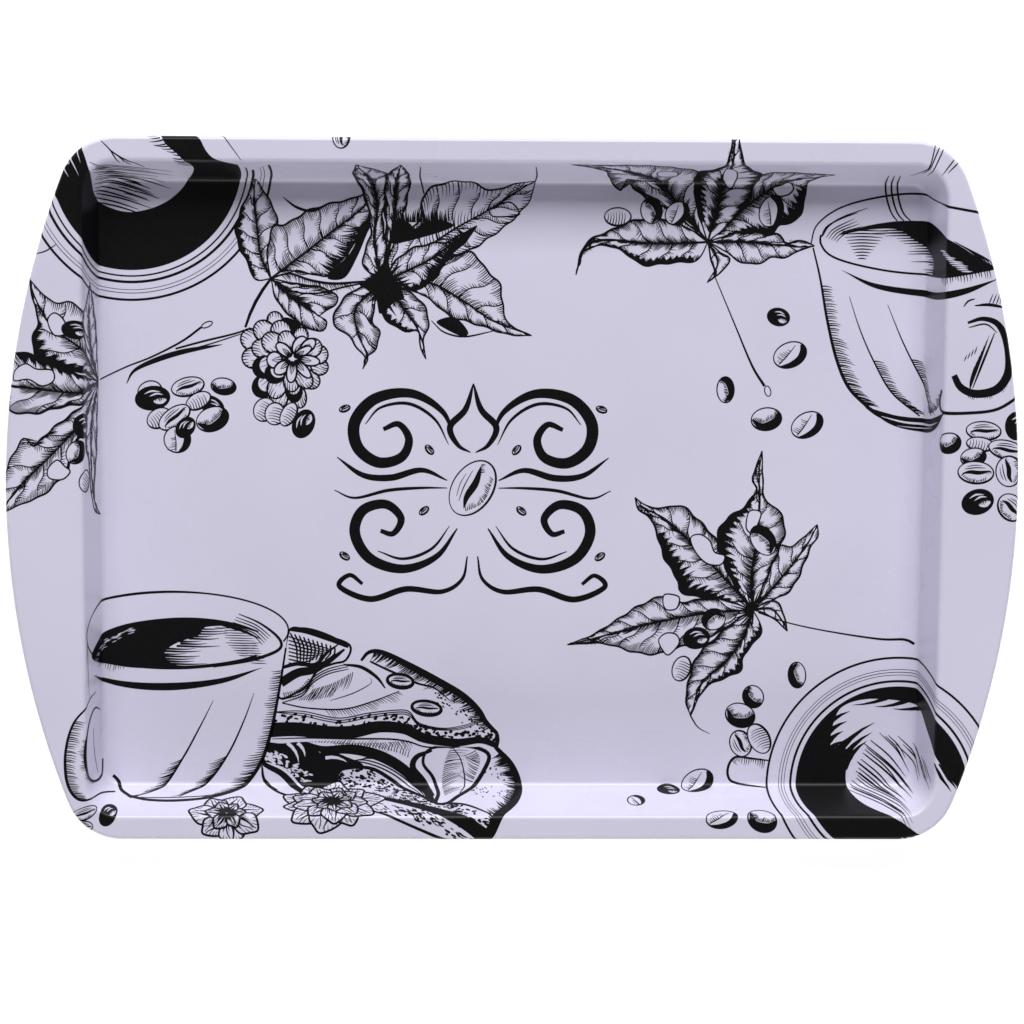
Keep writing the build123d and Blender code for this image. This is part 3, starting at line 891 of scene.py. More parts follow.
def cup_side_lower_left(art):
    body = [(-177, -60), (-175.5, -78), (-171, -96), (-163, -112), (-155, -122), (-148, -127.5),
            (-134, -129.5), (-118, -127), (-107, -121), (-99, -111), (-94.5, -98), (-91, -80), (-88, -60)]
    handle = [(-168, -80), (-176, -82.5), (-184, -90), (-187.5, -103), (-186.3, -117), (-181.5, -126),
            (-175, -128.6), (-165, -125), (-156, -123.2)]
    art.area(np.concatenate([curve(handle), [(-160, -100)]]), False)
    art.area(curve(body), False)
    rim = oval(-132.5, -57, 45, 15.2)
    art.area(rim, False)
    outer = curve(handle)
    art.stroke(outer, 0.35, 1.15, 0.9)
    art.comb(outer, 1, 4.8, 0.9, 0.45, 0, 0.22, 0.74, aim=-10)
    grip = curve([(-163, -88), (-169, -86.3), (-175, -90), (-179, -98), (-179.2, -107), (-175, -115),
            (-168.5, -117.3), (-162, -114), (-161, -108)])
    art.stroke(grip, 0.4, 1.7, 1.1)
    art.comb(grip, -1, 2.6, 0.7, 0.35, 0, 0.35, 0.75)
    art.line([(-171, -94), (-170, -104), (-166, -113)], 0.2, 0.5, 0.2)
    art.line([(-156.5, -115), (-154.3, -117.5), (-153, -122), (-148.5, -127.3)], 1.2, 1.5, 1.4)
    side = curve(body)
    base = curve([(-150, -126), (-142, -128.8), (-131, -129.3), (-118, -127), (-107, -121), (-99, -111),
            (-94.5, -98), (-91, -80), (-88.5, -64)])
    art.stroke(base, 1.6, 1.5, 0.7)
    art.line([(-149, -127), (-135, -127.3), (-118, -125.6), (-108, -121)], 0.4, 0.6, 0.3)
    art.comb(base, 1, 8.0, 0.95, 0.5, 0, 0.34, 0.6, aim=190)
    art.comb(base, 1, 5.0, 0.95, 0.5, 0, 0.6, 0.92, aim=187)
    art.stroke(part_of(side, 0, 0.12), 0.4, 0.35, 0.15)
    for fold in ([(-117, -85), (-122, -95), (-129, -108), (-137, -120), (-147, -126.5)], [(-101, -82),
            (-105, -93), (-111, -106), (-119, -117.5), (-130, -126.5)]):
        line = curve(fold)
        art.stroke(line, 0.2, 0.75, 0.3)
        art.comb(line, -1, 7.0, 0.95, 0.45, 0, 0.5, 0.94, aim=200)
    art.loop(rim, 0.65)
    art.stroke(oval(-132.5, -57, 45, 15.2, 0, 60, 175), 0.3, 1.0, 0.3)
    art.stroke(oval(-132.5, -57, 45, 15.2, 0, 170, 300), 0.5, 1.0, 0.5)
    art.patch([(-172, -66), (-163, -59.5), (-150, -54.4), (-130, -52), (-112, -53.4), (-97, -58.2),
            (-92, -62.5), (-100, -68), (-116, -71.2), (-134, -72.2), (-153, -71.4)])
    art.patch([(-96.5, -59.2), (-108, -55.6), (-120, -55.8), (-122.5, -59), (-131, -62), (-136, -66),
            (-132, -70.8), (-118, -70.4), (-103, -67.6), (-93.5, -63)], False)
    art.patch([(-99, -57.0), (-91, -60), (-89.5, -64), (-99, -69.6)], False)
    for i in range(15):
        y = -56.3 - i
        start = -122 - 12 * min(1, max(0, (-y - 58) / 8)) + art.dice.uniform(-3, 2)
        run = art.dice.uniform(7, 14)
        art.line([(start - 3, y), (start + run / 2, y - 0.3), (start + run, y)], 0.9, 0.6, 0.1)
        art.line([(-117 + i + art.dice.uniform(0, 4), y + 0.3), (-103 + i * 0.5, y)], 0.15, 0.35, 0.1)
    for i in range(6):
        y = -62 - i
        art.line([(-112 + i, y), (-104, y - 0.2), (-98.5 - i, y)], 0.15, 0.4, 0.1)
    for i in range(34):
        x, y = (-170 + 21 * i / 33 + art.dice.uniform(-1.5, 1.5),
                -68 + 12 * i / 33 + art.dice.uniform(-1.8, 0.8))
        art.line([(x, y), (x + art.dice.uniform(1.5, 3), y + 0.8)], 0.1, 0.4, 0.1, False)
    art.line([(-114, -54.6), (-106, -57), (-98.5, -60.4)], 1.0, 1.2, 0.2)
    art.line([(-107, -50.5), (-99, -54), (-92.5, -58.8), (-90.2, -62.4), (-92, -65.2), (-99.5, -68.2),
            (-108, -70.0), (-117, -71.4)], 0.3, 1.2, 1.0)
    for i in range(5):
        art.line([(-108 - 0.6 * i, -51.8 - i), (-100 - 0.4 * i, -55 - i),
                (-94.5 - 0.8 * i, -59.5 - 0.8 * i)], 0.2, 0.45, 0.2)
    art.comb(oval(-132.5, -57, 44.6, 15, 0, 225, 245), -1, 3.4, 0.95, 0.4)
    art.area(between([(-171, -73), (-153, -77.2), (-134, -78), (-115, -76.3), (-97.5, -71.8)],
            [(-97.5, -71.8), (-113, -78), (-134, -81), (-154, -79.3), (-171, -73)]))


def cup_side_upper_right(art):
    body = [(115, 95), (119, 82), (122, 66), (126, 50.5), (131, 39.5), (139, 31.5), (147, 25.6),
            (156, 23), (166, 22.6), (174, 25.5), (181, 31.5), (190, 32), (200, 33.3), (212, 40),
            (214, 110)]
    art.area(between(body, [(214, 110), (190, 109), (175, 112), (158, 115), (143, 114), (128, 110),
            (118, 103), (115, 95)]), False)
    art.line([(115, 95), (117.5, 103), (127, 109.8), (143, 114), (158, 115), (175, 112),
            (192, 109)], 0.5, 0.8, 1.0)
    for dx, lean in ((0, 0), (2.3, 0.4), (4.6, 0.8)):
        art.line([(143.6 + dx, 128), (143.8 + dx, 116), (146 + dx, 108),
                (149 + dx + lean, 104)], 0.3, 0.75, 0.4)
    wall = curve([(116, 94), (119, 82), (122, 66), (126, 50.5), (131, 39.5), (139, 31.5)])
    art.stroke(wall, 0.6, 1.1, 1.3)
    art.line([(138, 32.2), (143, 28.8), (150, 25.5)], 1.3, 1.6, 0.8)
    art.comb(wall, 1, 5.0, 0.95, 0.5, 0, 0.22, 0.52, aim=-6)
    art.comb(wall, 1, 6.8, 0.95, 0.5, 0, 0.52, 0.98, aim=-12)
    art.area(between([(139, 31.6), (152, 28.3), (166, 28), (180, 31.8)], [(180, 31.8), (173, 25.2),
            (164, 22.4), (154, 23.2), (146, 26), (139, 31.6)]))
    art.line([(144, 28.3), (154, 25.9), (166, 25.6), (174, 27.5)], 0.2, 0.9, 0.2, False)
    art.line([(150, 24.6), (160, 23.8), (170, 25)], 0.1, 0.4, 0.1, False)
    for fold in ([(130.5, 75), (135, 62), (141, 49), (148, 37.5), (159, 28.5)], [(145.5, 72), (152, 57),
            (160, 42), (168, 29.5)]):
        line = curve(fold)
        art.stroke(line, 0.2, 0.6, 0.6)
        art.comb(line, 1, 5.2, 0.95, 0.45, 0, 0.48, 0.97, aim=-12)
    art.line([(177.5, 40.5), (176, 36), (178.5, 32.2), (190, 32), (200, 33.4), (208, 38)], 1.5, 1.2, 1.2)
    art.comb(curve([(166, 30), (174, 33), (177, 39)]), 1, 3.5, 0.8, 0.4, 20)
    grip = curve([(188, 66.8), (194, 68.4), (200, 66), (203.6, 58), (204.2, 48), (200, 41.3), (192, 39.4),
            (186, 41.8), (183.2, 46.5)])
    art.stroke(grip, 0.9, 3.3, 2.3)
    art.comb(grip, 1, 2.4, 0.7, 0.45, 0, 0.55, 0.85)
    art.line([(188.5, 65), (195, 66.3), (199.5, 63)], 0.3, 0.6, 0.2)
    for i in range(7):
        art.line([(191 + i * 0.9, 50 + i * 2), (189.5 + i * 0.5, 44 + i), (189.5, 41)], 0.15, 0.5, 0.1)
    art.line([(198.5, 63), (194, 51), (190.5, 41.5)], 0.3, 0.9, 0.3)
    for i in range(4):
        art.line([(187 + i * 1.3, 52 + i * 0.9), (188 + i * 1.3, 54.5 + i * 1.1)], 0.2, 0.45, 0.1)
        art.line([(196 + i * 1.4, 74), (197.5 + i * 1.4, 78)], 0.2, 0.45, 0.1)
    art.line([(186.3, 73), (188, 75.2), (190.5, 76)], 0.3, 0.7, 0.3)
    art.line([(190.5, 73.4), (196, 73.8), (202, 72.8)], 0.3, 1.2, 0.6)
    art.patch([(119, 98.5), (127, 101), (138, 103.4), (150, 104.6), (164, 104), (180, 98.6), (191, 92),
            (198, 87.6), (186, 85.4), (172, 83.8), (158, 84), (143, 85.5), (129, 89), (121, 93)], False)
    art.patch([(126, 99), (133, 101.6), (142, 103.6), (152, 104.6), (165, 103.8), (180, 98.6), (191, 92),
            (198, 87.6), (186, 85.6), (172, 84.2), (166.5, 84.4), (167, 89.5), (161, 94), (155, 97.5),
            (149, 101.2), (138, 101.2)])
    for i in range(17):
        y = 101 - i
        start = np.interp(y, (84.4, 89.5, 94, 97.5, 101), (166.5, 167, 161, 155,
                149)) + art.dice.uniform(-1, 2)
        art.line([(start + 3, y), (start - 3, y - 0.1), (start - art.dice.uniform(4, 12), y - 0.3)], 1.0,
                0.55, 0.1)
    for i in range(10):
        y = 100.5 - 1.2 * i
        art.line([(127 + i * 0.7, y), (135, y + 0.3), (145 - i * 0.9, y)], 0.15, 0.5, 0.1)
    for i in range(12):
        x, y = (175.5 + 1.1 * i, 94 - 0.75 * i)
        art.line([(x - art.dice.uniform(1, 2.5), y), (x + 1, y),
                (x + art.dice.uniform(2.5, 4.5), y - 0.2)], 0.15, 0.6, 0.1, False)
    under = curve([(119, 99), (118.8, 96), (122, 91.6), (130, 88.3), (145, 85.2), (160, 83.9), (175, 84),
            (186, 85.4), (198, 87.8)])
    art.stroke(under, 0.8, 0.8, 1.0)
    art.line([(119, 98), (121, 102), (126, 105), (133, 107.6)], 0.4, 0.55, 0.2)
    art.line([(119.5, 98.5), (122, 102.5), (127.5, 106), (137, 109.5)], 0.5, 0.6, 0.15)
    for i in range(5):
        art.line([(121 + i, 98 - i * 0.4), (124 + i * 1.1, 101.4 - i * 0.5),
                (132 + i, 105.4 - i)], 0.2, 0.45, 0.1)
        art.line([(182 + 2 * i, 98 - i), (188 + 2 * i, 94.5 - i),
                (193 + i, 90.5 - i * 0.4)], 0.2, 0.55, 0.3)
    art.comb(part_of(under, 0.72, 0.98), -1, 3.2, 1.1, 0.42)
    art.area(between([(127, 85.5), (140, 80.4), (157, 78), (171, 77.7), (186, 80), (200, 84)], [(200, 84),
            (186, 77.5), (171, 74.9), (156, 75.6), (140, 78.6), (127, 85.5)]))


def leaf_left_edge(art):
    heart = (-162, 41)
    art.leaf(heart, ((-170.5, 80), [(-174, 49), (-180, 57), (-181, 66), (-175, 72)], [(-163, 50),
            (-164, 62), (-167.5, 73)], [(-170, 54), (-172, 66)], 5, 1.2), ((-199.5, 82), [(-178, 46),
            (-188, 48), (-197, 52.5), (-198, 60), (-196, 66), (-198, 74)], [(-172, 53), (-178, 61),
            (-178.5, 69), (-184, 73), (-190, 73), (-195, 77)], [(-178, 54), (-190, 63),
            (-196, 72)], 6, 1.1, 0.35), ((-213, 42), [(-176, 35), (-188, 33), (-198, 30.5), (-208, 32)],
            [(-178, 44.5), (-188, 48.5), (-197, 52.5), (-207, 53)], [(-180, 38.5),
            (-195, 39.5)], 5, 1.2, -0.3, 0.7), ((-213, -9), [(-176, 27), (-184, 17), (-185, 8),
            (-189, 4.5), (-195, -1), (-203, -4.5)], [(-178, 34), (-188, 27), (-194, 22), (-198, 18),
            (-202, 20.5), (-207, 13), (-211, 3)], [(-180, 26), (-194, 12), (-204, 2)], 7, 1.1),
            ((-161, -11), [(-176, 29), (-177, 19), (-173, 9), (-171, -2), (-167, -9)], [(-163.5, 28),
            (-164.5, 14), (-167, 3), (-167, -6)], [(-170, 26), (-171, 10), (-168.5, -4)], 5, 1.2, 0.3))
    art.holes([(-192.5, 66), (-190, 69), (-186.5, 66.5), (-185, 61.5), (-190, 60.5)], [(-205, 47),
            (-201, 49.5), (-197, 47.5), (-191, 47), (-190.5, 43), (-195, 41), (-200, 43.5), (-205.5, 43)],
            [(-193, 9), (-189.5, 12.5), (-186.5, 10), (-184.5, 8), (-187.5, 5), (-192.5, 5.5)])
    art.beans((-182, 62.5, 5.4, 3.6, -8, "dark"), (-179, 25.5, 4.4, 4.9, 0, "dark"),
            (-182, 15.5, 4.9, 4.0, 60, "half"), (-177, 4, 4.6, 4.3, 60, "pale"))


def leaves_upper_left(art):
    heart = (-94, 81)
    art.leaf(heart, ((-100, 120), [(-100, 80.5), (-102.5, 86), (-106, 93), (-107.5, 99), (-106, 106),
            (-103, 113)], [(-94, 90), (-91.5, 99), (-92.5, 107), (-96, 113.5)], [(-98, 90), (-99.5, 102),
            (-100.5, 112)], 6, 1.4, 0.25), ((-50, 120), [(-95.5, 90), (-93, 101), (-88, 102), (-80, 107),
            (-71, 110), (-60, 113)], [(-84, 84), (-73, 82), (-66, 88), (-61, 97), (-56, 106)], [(-81, 91),
            (-69, 100.5), (-58, 109)], 8, 1.3))
    art.line([(-89.5, 112.5), (-84, 108.5), (-78, 107.2), (-72, 109.7)], 0.2, 1.1, 0.3)
    art.leaf(heart, ((-75.5, 66.5), [(-92, 73), (-86, 66), (-79, 61.5), (-74, 61), (-72.5, 64.5)],
            [(-84, 79), (-76, 78), (-69, 75), (-69, 71), (-73, 68.5)], [(-86, 74), (-79, 69)], 5, 1.9))
    art.patch([(-72, 81), (-65.5, 81.5), (-60.5, 90), (-56.5, 99.5), (-53.5, 104.5), (-56.5, 104.3),
            (-60, 101), (-62, 93.5), (-67, 87), (-71, 84.5)])
    art.comb(curve([(-71, 84), (-66.5, 88), (-62, 94), (-60, 101)]), 1, 6.5, 0.8, 0.7, 20)
    heart = (-51, 79)
    art.leaf(heart, ((-61, 137), [(-58.5, 87), (-55.5, 99), (-57, 110), (-62, 124)], [(-49.5, 92),
            (-51, 105), (-49, 118), (-50, 128)], [(-54, 95), (-53.5, 112)], 7, 1.3), ((-44, 137),
            [(-49.5, 95), (-50, 112), (-49, 126)], [(-45.5, 98), (-42.5, 108), (-40.5, 118),
            (-41.5, 129)], [(-47, 100), (-45.5, 118)], 6, 1.3), ((8, 119.5), [(-46, 96), (-37, 103),
            (-35, 113.5), (-28, 118), (-18, 119), (-9, 115.5), (0, 118)], [(-38, 84), (-28, 89.5),
            (-18, 92), (-10, 97), (-2, 103), (2, 107), (6, 112)], [(-38, 90), (-24, 100),
            (-10, 108)], 9, 0.6))
    art.line([(-35, 114), (-36.5, 122), (-36.5, 135)], 0.5, 0.6, 0.3)
    art.line([(8, 119.5), (8.3, 126), (7.6, 136)], 0.5, 0.6, 0.3)
    art.line([(-10, 108), (-8.5, 105.5), (-2, 105.5), (2, 106.5), (-2, 111), (-10, 108)], 0.5, 0.6, 0.5)
    art.patch([(-47.5, 95), (-46.5, 102.5), (-41, 103), (-38.5, 100.5), (-35, 103), (-29, 104),
            (-23.5, 102), (-28, 99.5), (-37, 96.8), (-42, 95.5)])
    art.comb(curve([(-46, 102.5), (-41, 103), (-35, 103), (-25, 103.5)]), 1, 6, 0.8, 0.8)
    art.leaf(heart, ((7, 59.3), [(-40, 84), (-28, 88), (-17, 91.5), (-11, 85), (-5.5, 79), (-4.5, 72),
            (-2, 64)], [(-41, 78), (-31, 72), (-25, 67), (-14, 63.5), (-2, 59.7)], [(-34, 80), (-20, 73),
            (-8, 65)], 7, 1.1), ((-14.5, 101.8), [(-46.4, 87.4), (-40, 92.5), (-32.5, 94.8), (-26, 95.5),
            (-20.5, 98.5)], [(-42, 76.5), (-36, 77.8), (-31, 81), (-28, 85.5), (-24, 91), (-19, 95.5)],
            [(-42, 84), (-33, 88.5), (-24, 95)], 6, 1.2, -0.3))
    art.patch([(-33, 79.2), (-28, 85), (-23.8, 90.8), (-18.8, 95.3), (-14.5, 101.8), (-20, 98.2),
            (-24.5, 94), (-27.5, 90), (-30, 85.5), (-34, 81.5)])
    art.comb(curve([(-34, 81.5), (-30, 85.5), (-27.5, 90), (-24.5, 94),
            (-19, 98.6)]), 1, 3.6, 0.8, 0.8, 0)
    art.line([(-32, 65), (-27, 60.5), (-19, 58.8), (-8, 61)], 0.3, 0.7, 0.3)
    art.patch([(-30, 64.5), (-24, 66.5), (-20, 64), (-17.5, 60), (-20, 59), (-25, 61)])
    art.leaf(heart, ((-34, 50), [(-52, 70), (-48, 64), (-42, 61), (-37, 60.5), (-36, 54)], [(-42, 77),
            (-35, 71), (-33, 64), (-35, 57)], [(-43, 70), (-36.5, 60)], 4, 1.6, 0.3), ((-58.5, 46),
            [(-60, 77.5), (-67, 72), (-70, 63.5), (-65, 60), (-60.5, 54), (-57.5, 50)], [(-54, 71),
            (-54.5, 64), (-52, 60), (-53.5, 54), (-57, 50.5)], [(-61, 70), (-60.5, 60),
            (-56.5, 51)], 4, 1.3))
    art.patch([(-60, 79), (-55, 82), (-51.5, 86), (-49.2, 90.5), (-47.8, 84), (-45, 79.5), (-42.5, 73.5),
            (-46, 72.5), (-48.5, 70), (-52, 67.5), (-53.4, 73.2), (-56.5, 76.5)])
    for i in range(44):
        angle = i / 44 * 2 * math.pi
        reach = (12 if math.cos(angle) > -0.2 else 7.5) * art.dice.uniform(0.6, 1.15)
        tip = (heart[0] + reach * math.cos(angle), heart[1] - 1 + reach * 0.95 * math.sin(angle))
        art.stroke(bowed(heart, tip, art.dice.uniform(-0.08, 0.08)), 1.8, 1.4, 0.1)
    fold = curve([(-94, 81), (-87, 83), (-79, 80.5), (-70, 79.2), (-58, 80)])
    art.stroke(fold, 0.6, 1.0, 0.8)
    art.comb(fold, -1, 3.6, 0.8, 0.4, 30, 0.1, 0.85)
    art.line([(-92, 80), (-85, 76), (-76, 75.4), (-66, 77.8), (-58, 79.5)], 0.4, 0.7, 0.6)
    art.stroke(bowed((-94, 81), (-104, 62), -0.05), 1.0, 1.3, 0.9)


def leaf_upper_right(art):
    heart = (75, 96)
    art.leaf(heart, ((21, 138.5), [(62, 107), (52, 112), (46, 117), (43.5, 122), (41, 115.5), (37, 121),
            (35, 130), (30, 134.5)], [(71, 108), (69.5, 120), (70.5, 131), (60, 136), (48, 138),
            (34, 138)], [(62, 112), (50, 126), (36, 134.5)], 7, 1.5), ((123, 128.5), [(84, 104),
            (92, 116), (94.5, 128), (102, 131), (112, 130)], [(90, 100), (100, 99.5), (103, 103),
            (108.5, 104), (112, 110), (113, 118), (117, 125)], [(90, 110), (102, 118.5),
            (112, 124)], 7, 1.5, -0.35))
    art.lobe([heart, (71, 108), (69.5, 120), (70.5, 131), (77, 134.5), (81, 142), (82.5, 152)], [heart,
            (84, 104), (92, 116), (94.5, 128), (89.5, 135), (86, 143), (84.5, 152)], [heart, (79, 112),
            (81, 128), (82.5, 140), (83.5, 152)], 8, 1.9, 0.4)
    art.leaf(heart, ((24, 83), [(66, 102), (56, 105), (46, 104), (38, 100.5), (30, 97), (26, 92)],
            [(71, 89), (62, 88), (50, 87), (44, 91), (36, 94.5), (28, 92.8), (25.3, 89)], [(62, 95.3),
            (48, 95.5), (36, 96.8), (28, 94.5)], 7, 1.5, -0.3), ((116.5, 94.7), [(86, 99.5), (98, 99.5),
            (103, 98.5), (106, 95.5), (109.5, 96.5), (112.5, 96.6)], [(82, 92.5), (86, 89.3), (93, 87.5),
            (100, 90), (106, 90.4), (111, 93)], [(90, 96), (103, 95), (110, 94.2)], 6, 1.4), ((75, 80.3),
            [(76.5, 89), (78, 83)], [(80, 92), (83.5, 89.5), (81.5, 85.5)], [(79, 88)], 2, 1.4))
    art.holes([(80.5, 134), (84.5, 132), (85.5, 124), (84.5, 117.5), (82, 117.5), (80, 124)],
            [(54.5, 130), (58, 131.5), (62, 130), (62, 126), (58, 124.8), (55, 126)], [(100, 117),
            (103, 118), (106, 119.5), (108, 117), (106, 114.5), (102, 114)])
    art.beans((40, 105.5, 5.4, 3.8, 0, "pale"), (53, 108, 5.2, 4.4, 100, "half"),
            (63, 107, 5.2, 4.4, 40, "deep"), (99.5, 108, 6.4, 4.8, 72, "deep"))
    art.line([(78, 82.5), (86, 64), (93, 48), (98, 40)], 0.4, 0.6, 1.1)
    art.loop(oval(99.3, 38, 1.2, 2.1, 15), 0.4)


def leaf_lower_right(art):
    heart = (95, -48.5)
    art.leaf(heart, ((48, -4), [(82, -45), (67, -41.5), (65, -36), (60, -28), (57, -19), (54, -12),
            (49.5, -9)], [(90, -36), (84, -27), (79.5, -20), (72, -12), (66, -7.3), (58, -8.2), (52, -7)],
            [(84, -36.5), (72, -24), (60, -12.5), (51, -8.2)], 8, 1.4, 0.4, 0.7), ((22, -62.5),
            [(84, -56), (74, -61), (66, -63.5), (58, -66), (52, -66), (47, -65), (36, -62)], [(80, -44),
            (66, -45.5), (60, -43), (50, -47), (40, -53.5), (31, -59)], [(76, -50), (60, -53),
            (45, -56.5), (34, -59.5)], 9, 1.2), ((119.7, -14.5), [(104, -44), (110, -40), (114, -32),
            (117, -24), (120, -19)], [(100, -36), (104, -24), (110, -23), (114, -20), (116, -18)],
            [(104, -38), (112, -28), (117, -20.5)], 6, 1.3), ((97.5, 14.5), [(86, -36), (80.5, -21),
            (84, -12.5), (90, -8.5), (95.5, -1), (94, 4)], [(100, -36), (105, -24), (107, -16),
            (104, -8.5), (99, -5), (98, 3)], [(94, -36), (96, -20), (97, -6),
            (96.5, 5)], 8, 1.5, 0.35, 0.65), ((108.7, -57), [(101, -45), (105, -46), (107.3, -51)],
            [(100, -50), (104.5, -53)], [(102, -48), (106, -52)], 3, 1.2), ((71, -91), [(88, -53),
            (80, -60), (74, -66), (71, -73), (69, -84)], [(98.5, -57), (92, -66), (90, -73), (80, -77.5),
            (75, -82)], [(91, -60), (84, -70), (75, -78)], 7, 1.5, -0.4))
    art.line([(71, -91), (74, -95.5), (78.7, -98.2)], 0.6, 0.45, 0.15)
    art.holes([(70, -20), (73.5, -18.5), (77.5, -21), (79.5, -25.5), (83.5, -27), (82, -30.5),
            (76.5, -30), (72, -25.5)], [(92.5, -10), (95, -8.8), (97.5, -10), (96.5, -14), (94.5, -18),
            (91.8, -16)], [(59.5, -46), (60, -42.5), (64, -42.6), (66, -44), (64.8, -48), (61, -48.5)],
            [(58, -60.5), (61, -57.8), (65, -58.5), (66, -62), (62, -66.5), (59.5, -64.5)])
    art.beans((79.5, -52.3, 4.9, 4.4, 200, "half"), (72.8, -59.8, 5.4, 4.4, 10, "dark"),
            (67.2, -72, 5.3, 3.9, 72, "pale"), (98.5, -20.8, 6.7, 4.7, 125, "half"))
    for i in range(18):
        angle = math.radians(60 + i * 12)
        tip = (95 + 9 * math.cos(angle), -48.5 + 9 * math.sin(angle))
        art.stroke(bowed(heart, tip, 0.04), 0.7, 0.6, 0.1)
    art.line([(97, -49.5), (109, -53.6), (125, -57), (145, -60), (155, -60.2), (159, -62)], 0.5, 0.6, 1.1)


def flower(art):
    x, y = (-85.5, 50)
    back = [(-6.9, 14.4, 3.8, 3.2, 100), (-0.6, 12.6, 4.4, 2.2, -32), (-15.8, 7.2, 4.6, 4.2, 150),
            (-15.6, 0.2, 4.2, 4.0, 185), (-11.2, 10.6, 4.4, 4.0, 130), (-4.7, 10.3, 4.5, 4.0, 100),
            (3.0, 9.0, 3.1, 2.8, 80), (-5.6, -15.2, 4.8, 3.6, 260), (-11.2, -10.6, 5.0, 4.2, 225),
            (1.8, -14.6, 4.8, 3.2, 285), (6.6, -8.2, 4.0, 3.4, 320), (10.2, -3.2, 3.4, 3.2, 340),
            (10.2, 1.6, 3.3, 3.6, 10), (-11.8, 3.8, 4.2, 3.8, 165), (-11.2, -3.4, 4.5, 4.2, 205),
            (-8.0, 6.2, 4.3, 4.0, 140), (-6.4, -11.4, 4.4, 3.6, 245), (0.2, -12.0, 5.0, 3.2, 275),
            (-6.8, -5.6, 4.3, 3.8, 225), (-2.4, 6.8, 4.0, 3.4, 110), (7.4, 4.2, 3.8, 3.6, 30),
            (-0.6, -8.6, 4.4, 3.2, 268), (4.2, -8.0, 4.0, 3.2, 305)]
    shaded = (1, 8, 14, 17, 18)
    for i, (dx, dy, long, wide, turn) in enumerate(back):
        petal = oval(x + dx, y + dy, long, wide, turn, step=0.8)
        art.area(petal, i in shaded)
        if i in shaded:
            c, s = (math.cos(math.radians(turn)), math.sin(math.radians(turn)))
            art.area(oval(x + dx - 1.6 * c, y + dy - 1.6 * s, long * 0.72, wide * 0.8, turn, step=0.7),
                    i == 1)
        art.loop(petal, 0.6, 0.75, 0.6)
        outer = oval(x + dx, y + dy, long * 0.95, wide * 0.95, turn, 75, -75, 0.7)
        inner = oval(x + dx, y + dy, long * 0.95, wide * 0.95, turn, 105, 255, 0.7)
        art.fan(outer, inner, 8, 0.36, 0.42)
        art.fan(inner, outer, 6, 0.5, 0.36)
    front = [(-7.2, -0.6, 3.0, 3.2, 180), (2.6, 5.0, 3.9, 2.7, 62), (-3.6, 3.4, 3.6, 2.1, 140),
            (5.8, 5.0, 3.4, 2.2, 42), (3.8, 2.6, 3.7, 1.6, 30), (6.2, -0.8, 4.1, 2.0, 352),
            (-4.3, -3.6, 3.5, 2.3, 218), (3.7, -4.2, 4.3, 1.8, 312), (-0.6, -5.4, 4.0, 2.0, 264)]
    for dx, dy, long, wide, turn in front:
        petal = oval(x + dx, y + dy, long, wide, turn, step=0.7)
        art.area(petal, False)
        art.loop(petal, 0.6, 0.85, 0.6)
        foot = (x + dx * 0.25, y + dy * 0.25)
        for bend in (-0.16, 0.0, 0.16):
            tip = (x + dx * 1.15, y + dy * 1.15)
            art.stroke(bowed(foot, tip, bend), 1.0, 0.45, 0.08)
    for px, py, long, wide, turn, kind in ((-96.6, 30.0, 5.0, 4.4, 60, "pale"),
            (-92.5, 28.4, 4.6, 4.2, 80, "pale"), (-87.2, 28.2, 5.2, 3.2, 62, "pale"),
            (-81.5, 24.5, 5.9, 4.3, 66, "dark")):
        art.bean(px, py, long, wide, turn, kind)


def twig(art):
    art.line([(-160.5, 41.5), (-150, 46.5), (-140, 50.5), (-128.5, 56.5), (-121, 62)], 0.5, 0.7, 0.9)
    art.loop(oval(-118.8, 63, 2.3, 1.0, 25), 0.45)
    art.line([(-150, 40), (-147, 45), (-139, 49), (-128, 52.5), (-113, 55.3)], 0.3, 2.1, 0.2)
    art.line([(-131, 53.6), (-120, 56.6), (-108, 59.6), (-102, 61.8)], 0.7, 0.8, 0.6)
    art.line([(-128, 52.8), (-118, 55.4), (-104, 60)], 0.3, 0.5, 0.3)


def beans_left(art):
    art.beans((-141, 37, 5.0, 4.2, 20, "pale"), (-140, 34.3, 6.9, 4.8, 8, "dark"),
            (-126.3, 38.8, 6.7, 3.9, 14), (-117, 31.5, 5.2, 3.6, -30, "dark"),
            (-122.2, 33.3, 5.4, 3.4, 28, "pale"), (-137.5, 26.5, 5.2, 4.0, 32, "pale"),
            (-116.8, 26.2, 6.7, 4.9, 22, "half"), (-131.5, 26.8, 7.2, 4.0, 36),
            (-130.5, 18.2, 5.4, 5.4, 60, "deep"), (-127.3, 22.9, 4.6, 3.5, 50, "dark"),
            (-112.5, 39, 5.1, 3.5, -8, "half"))


def beans_upper_right(art):
    art.beans((103, 67, 4.6, 3.6, -14, "dark"), (107.8, 52.2, 6.9, 5.1, 24, "deep"),
            (82.8, 38.5, 5.3, 3.6, 92, "half"), (99, 27, 6.2, 4.7, 8, "half"),
            (115, 24.8, 6.8, 5.0, 30, "deep"))


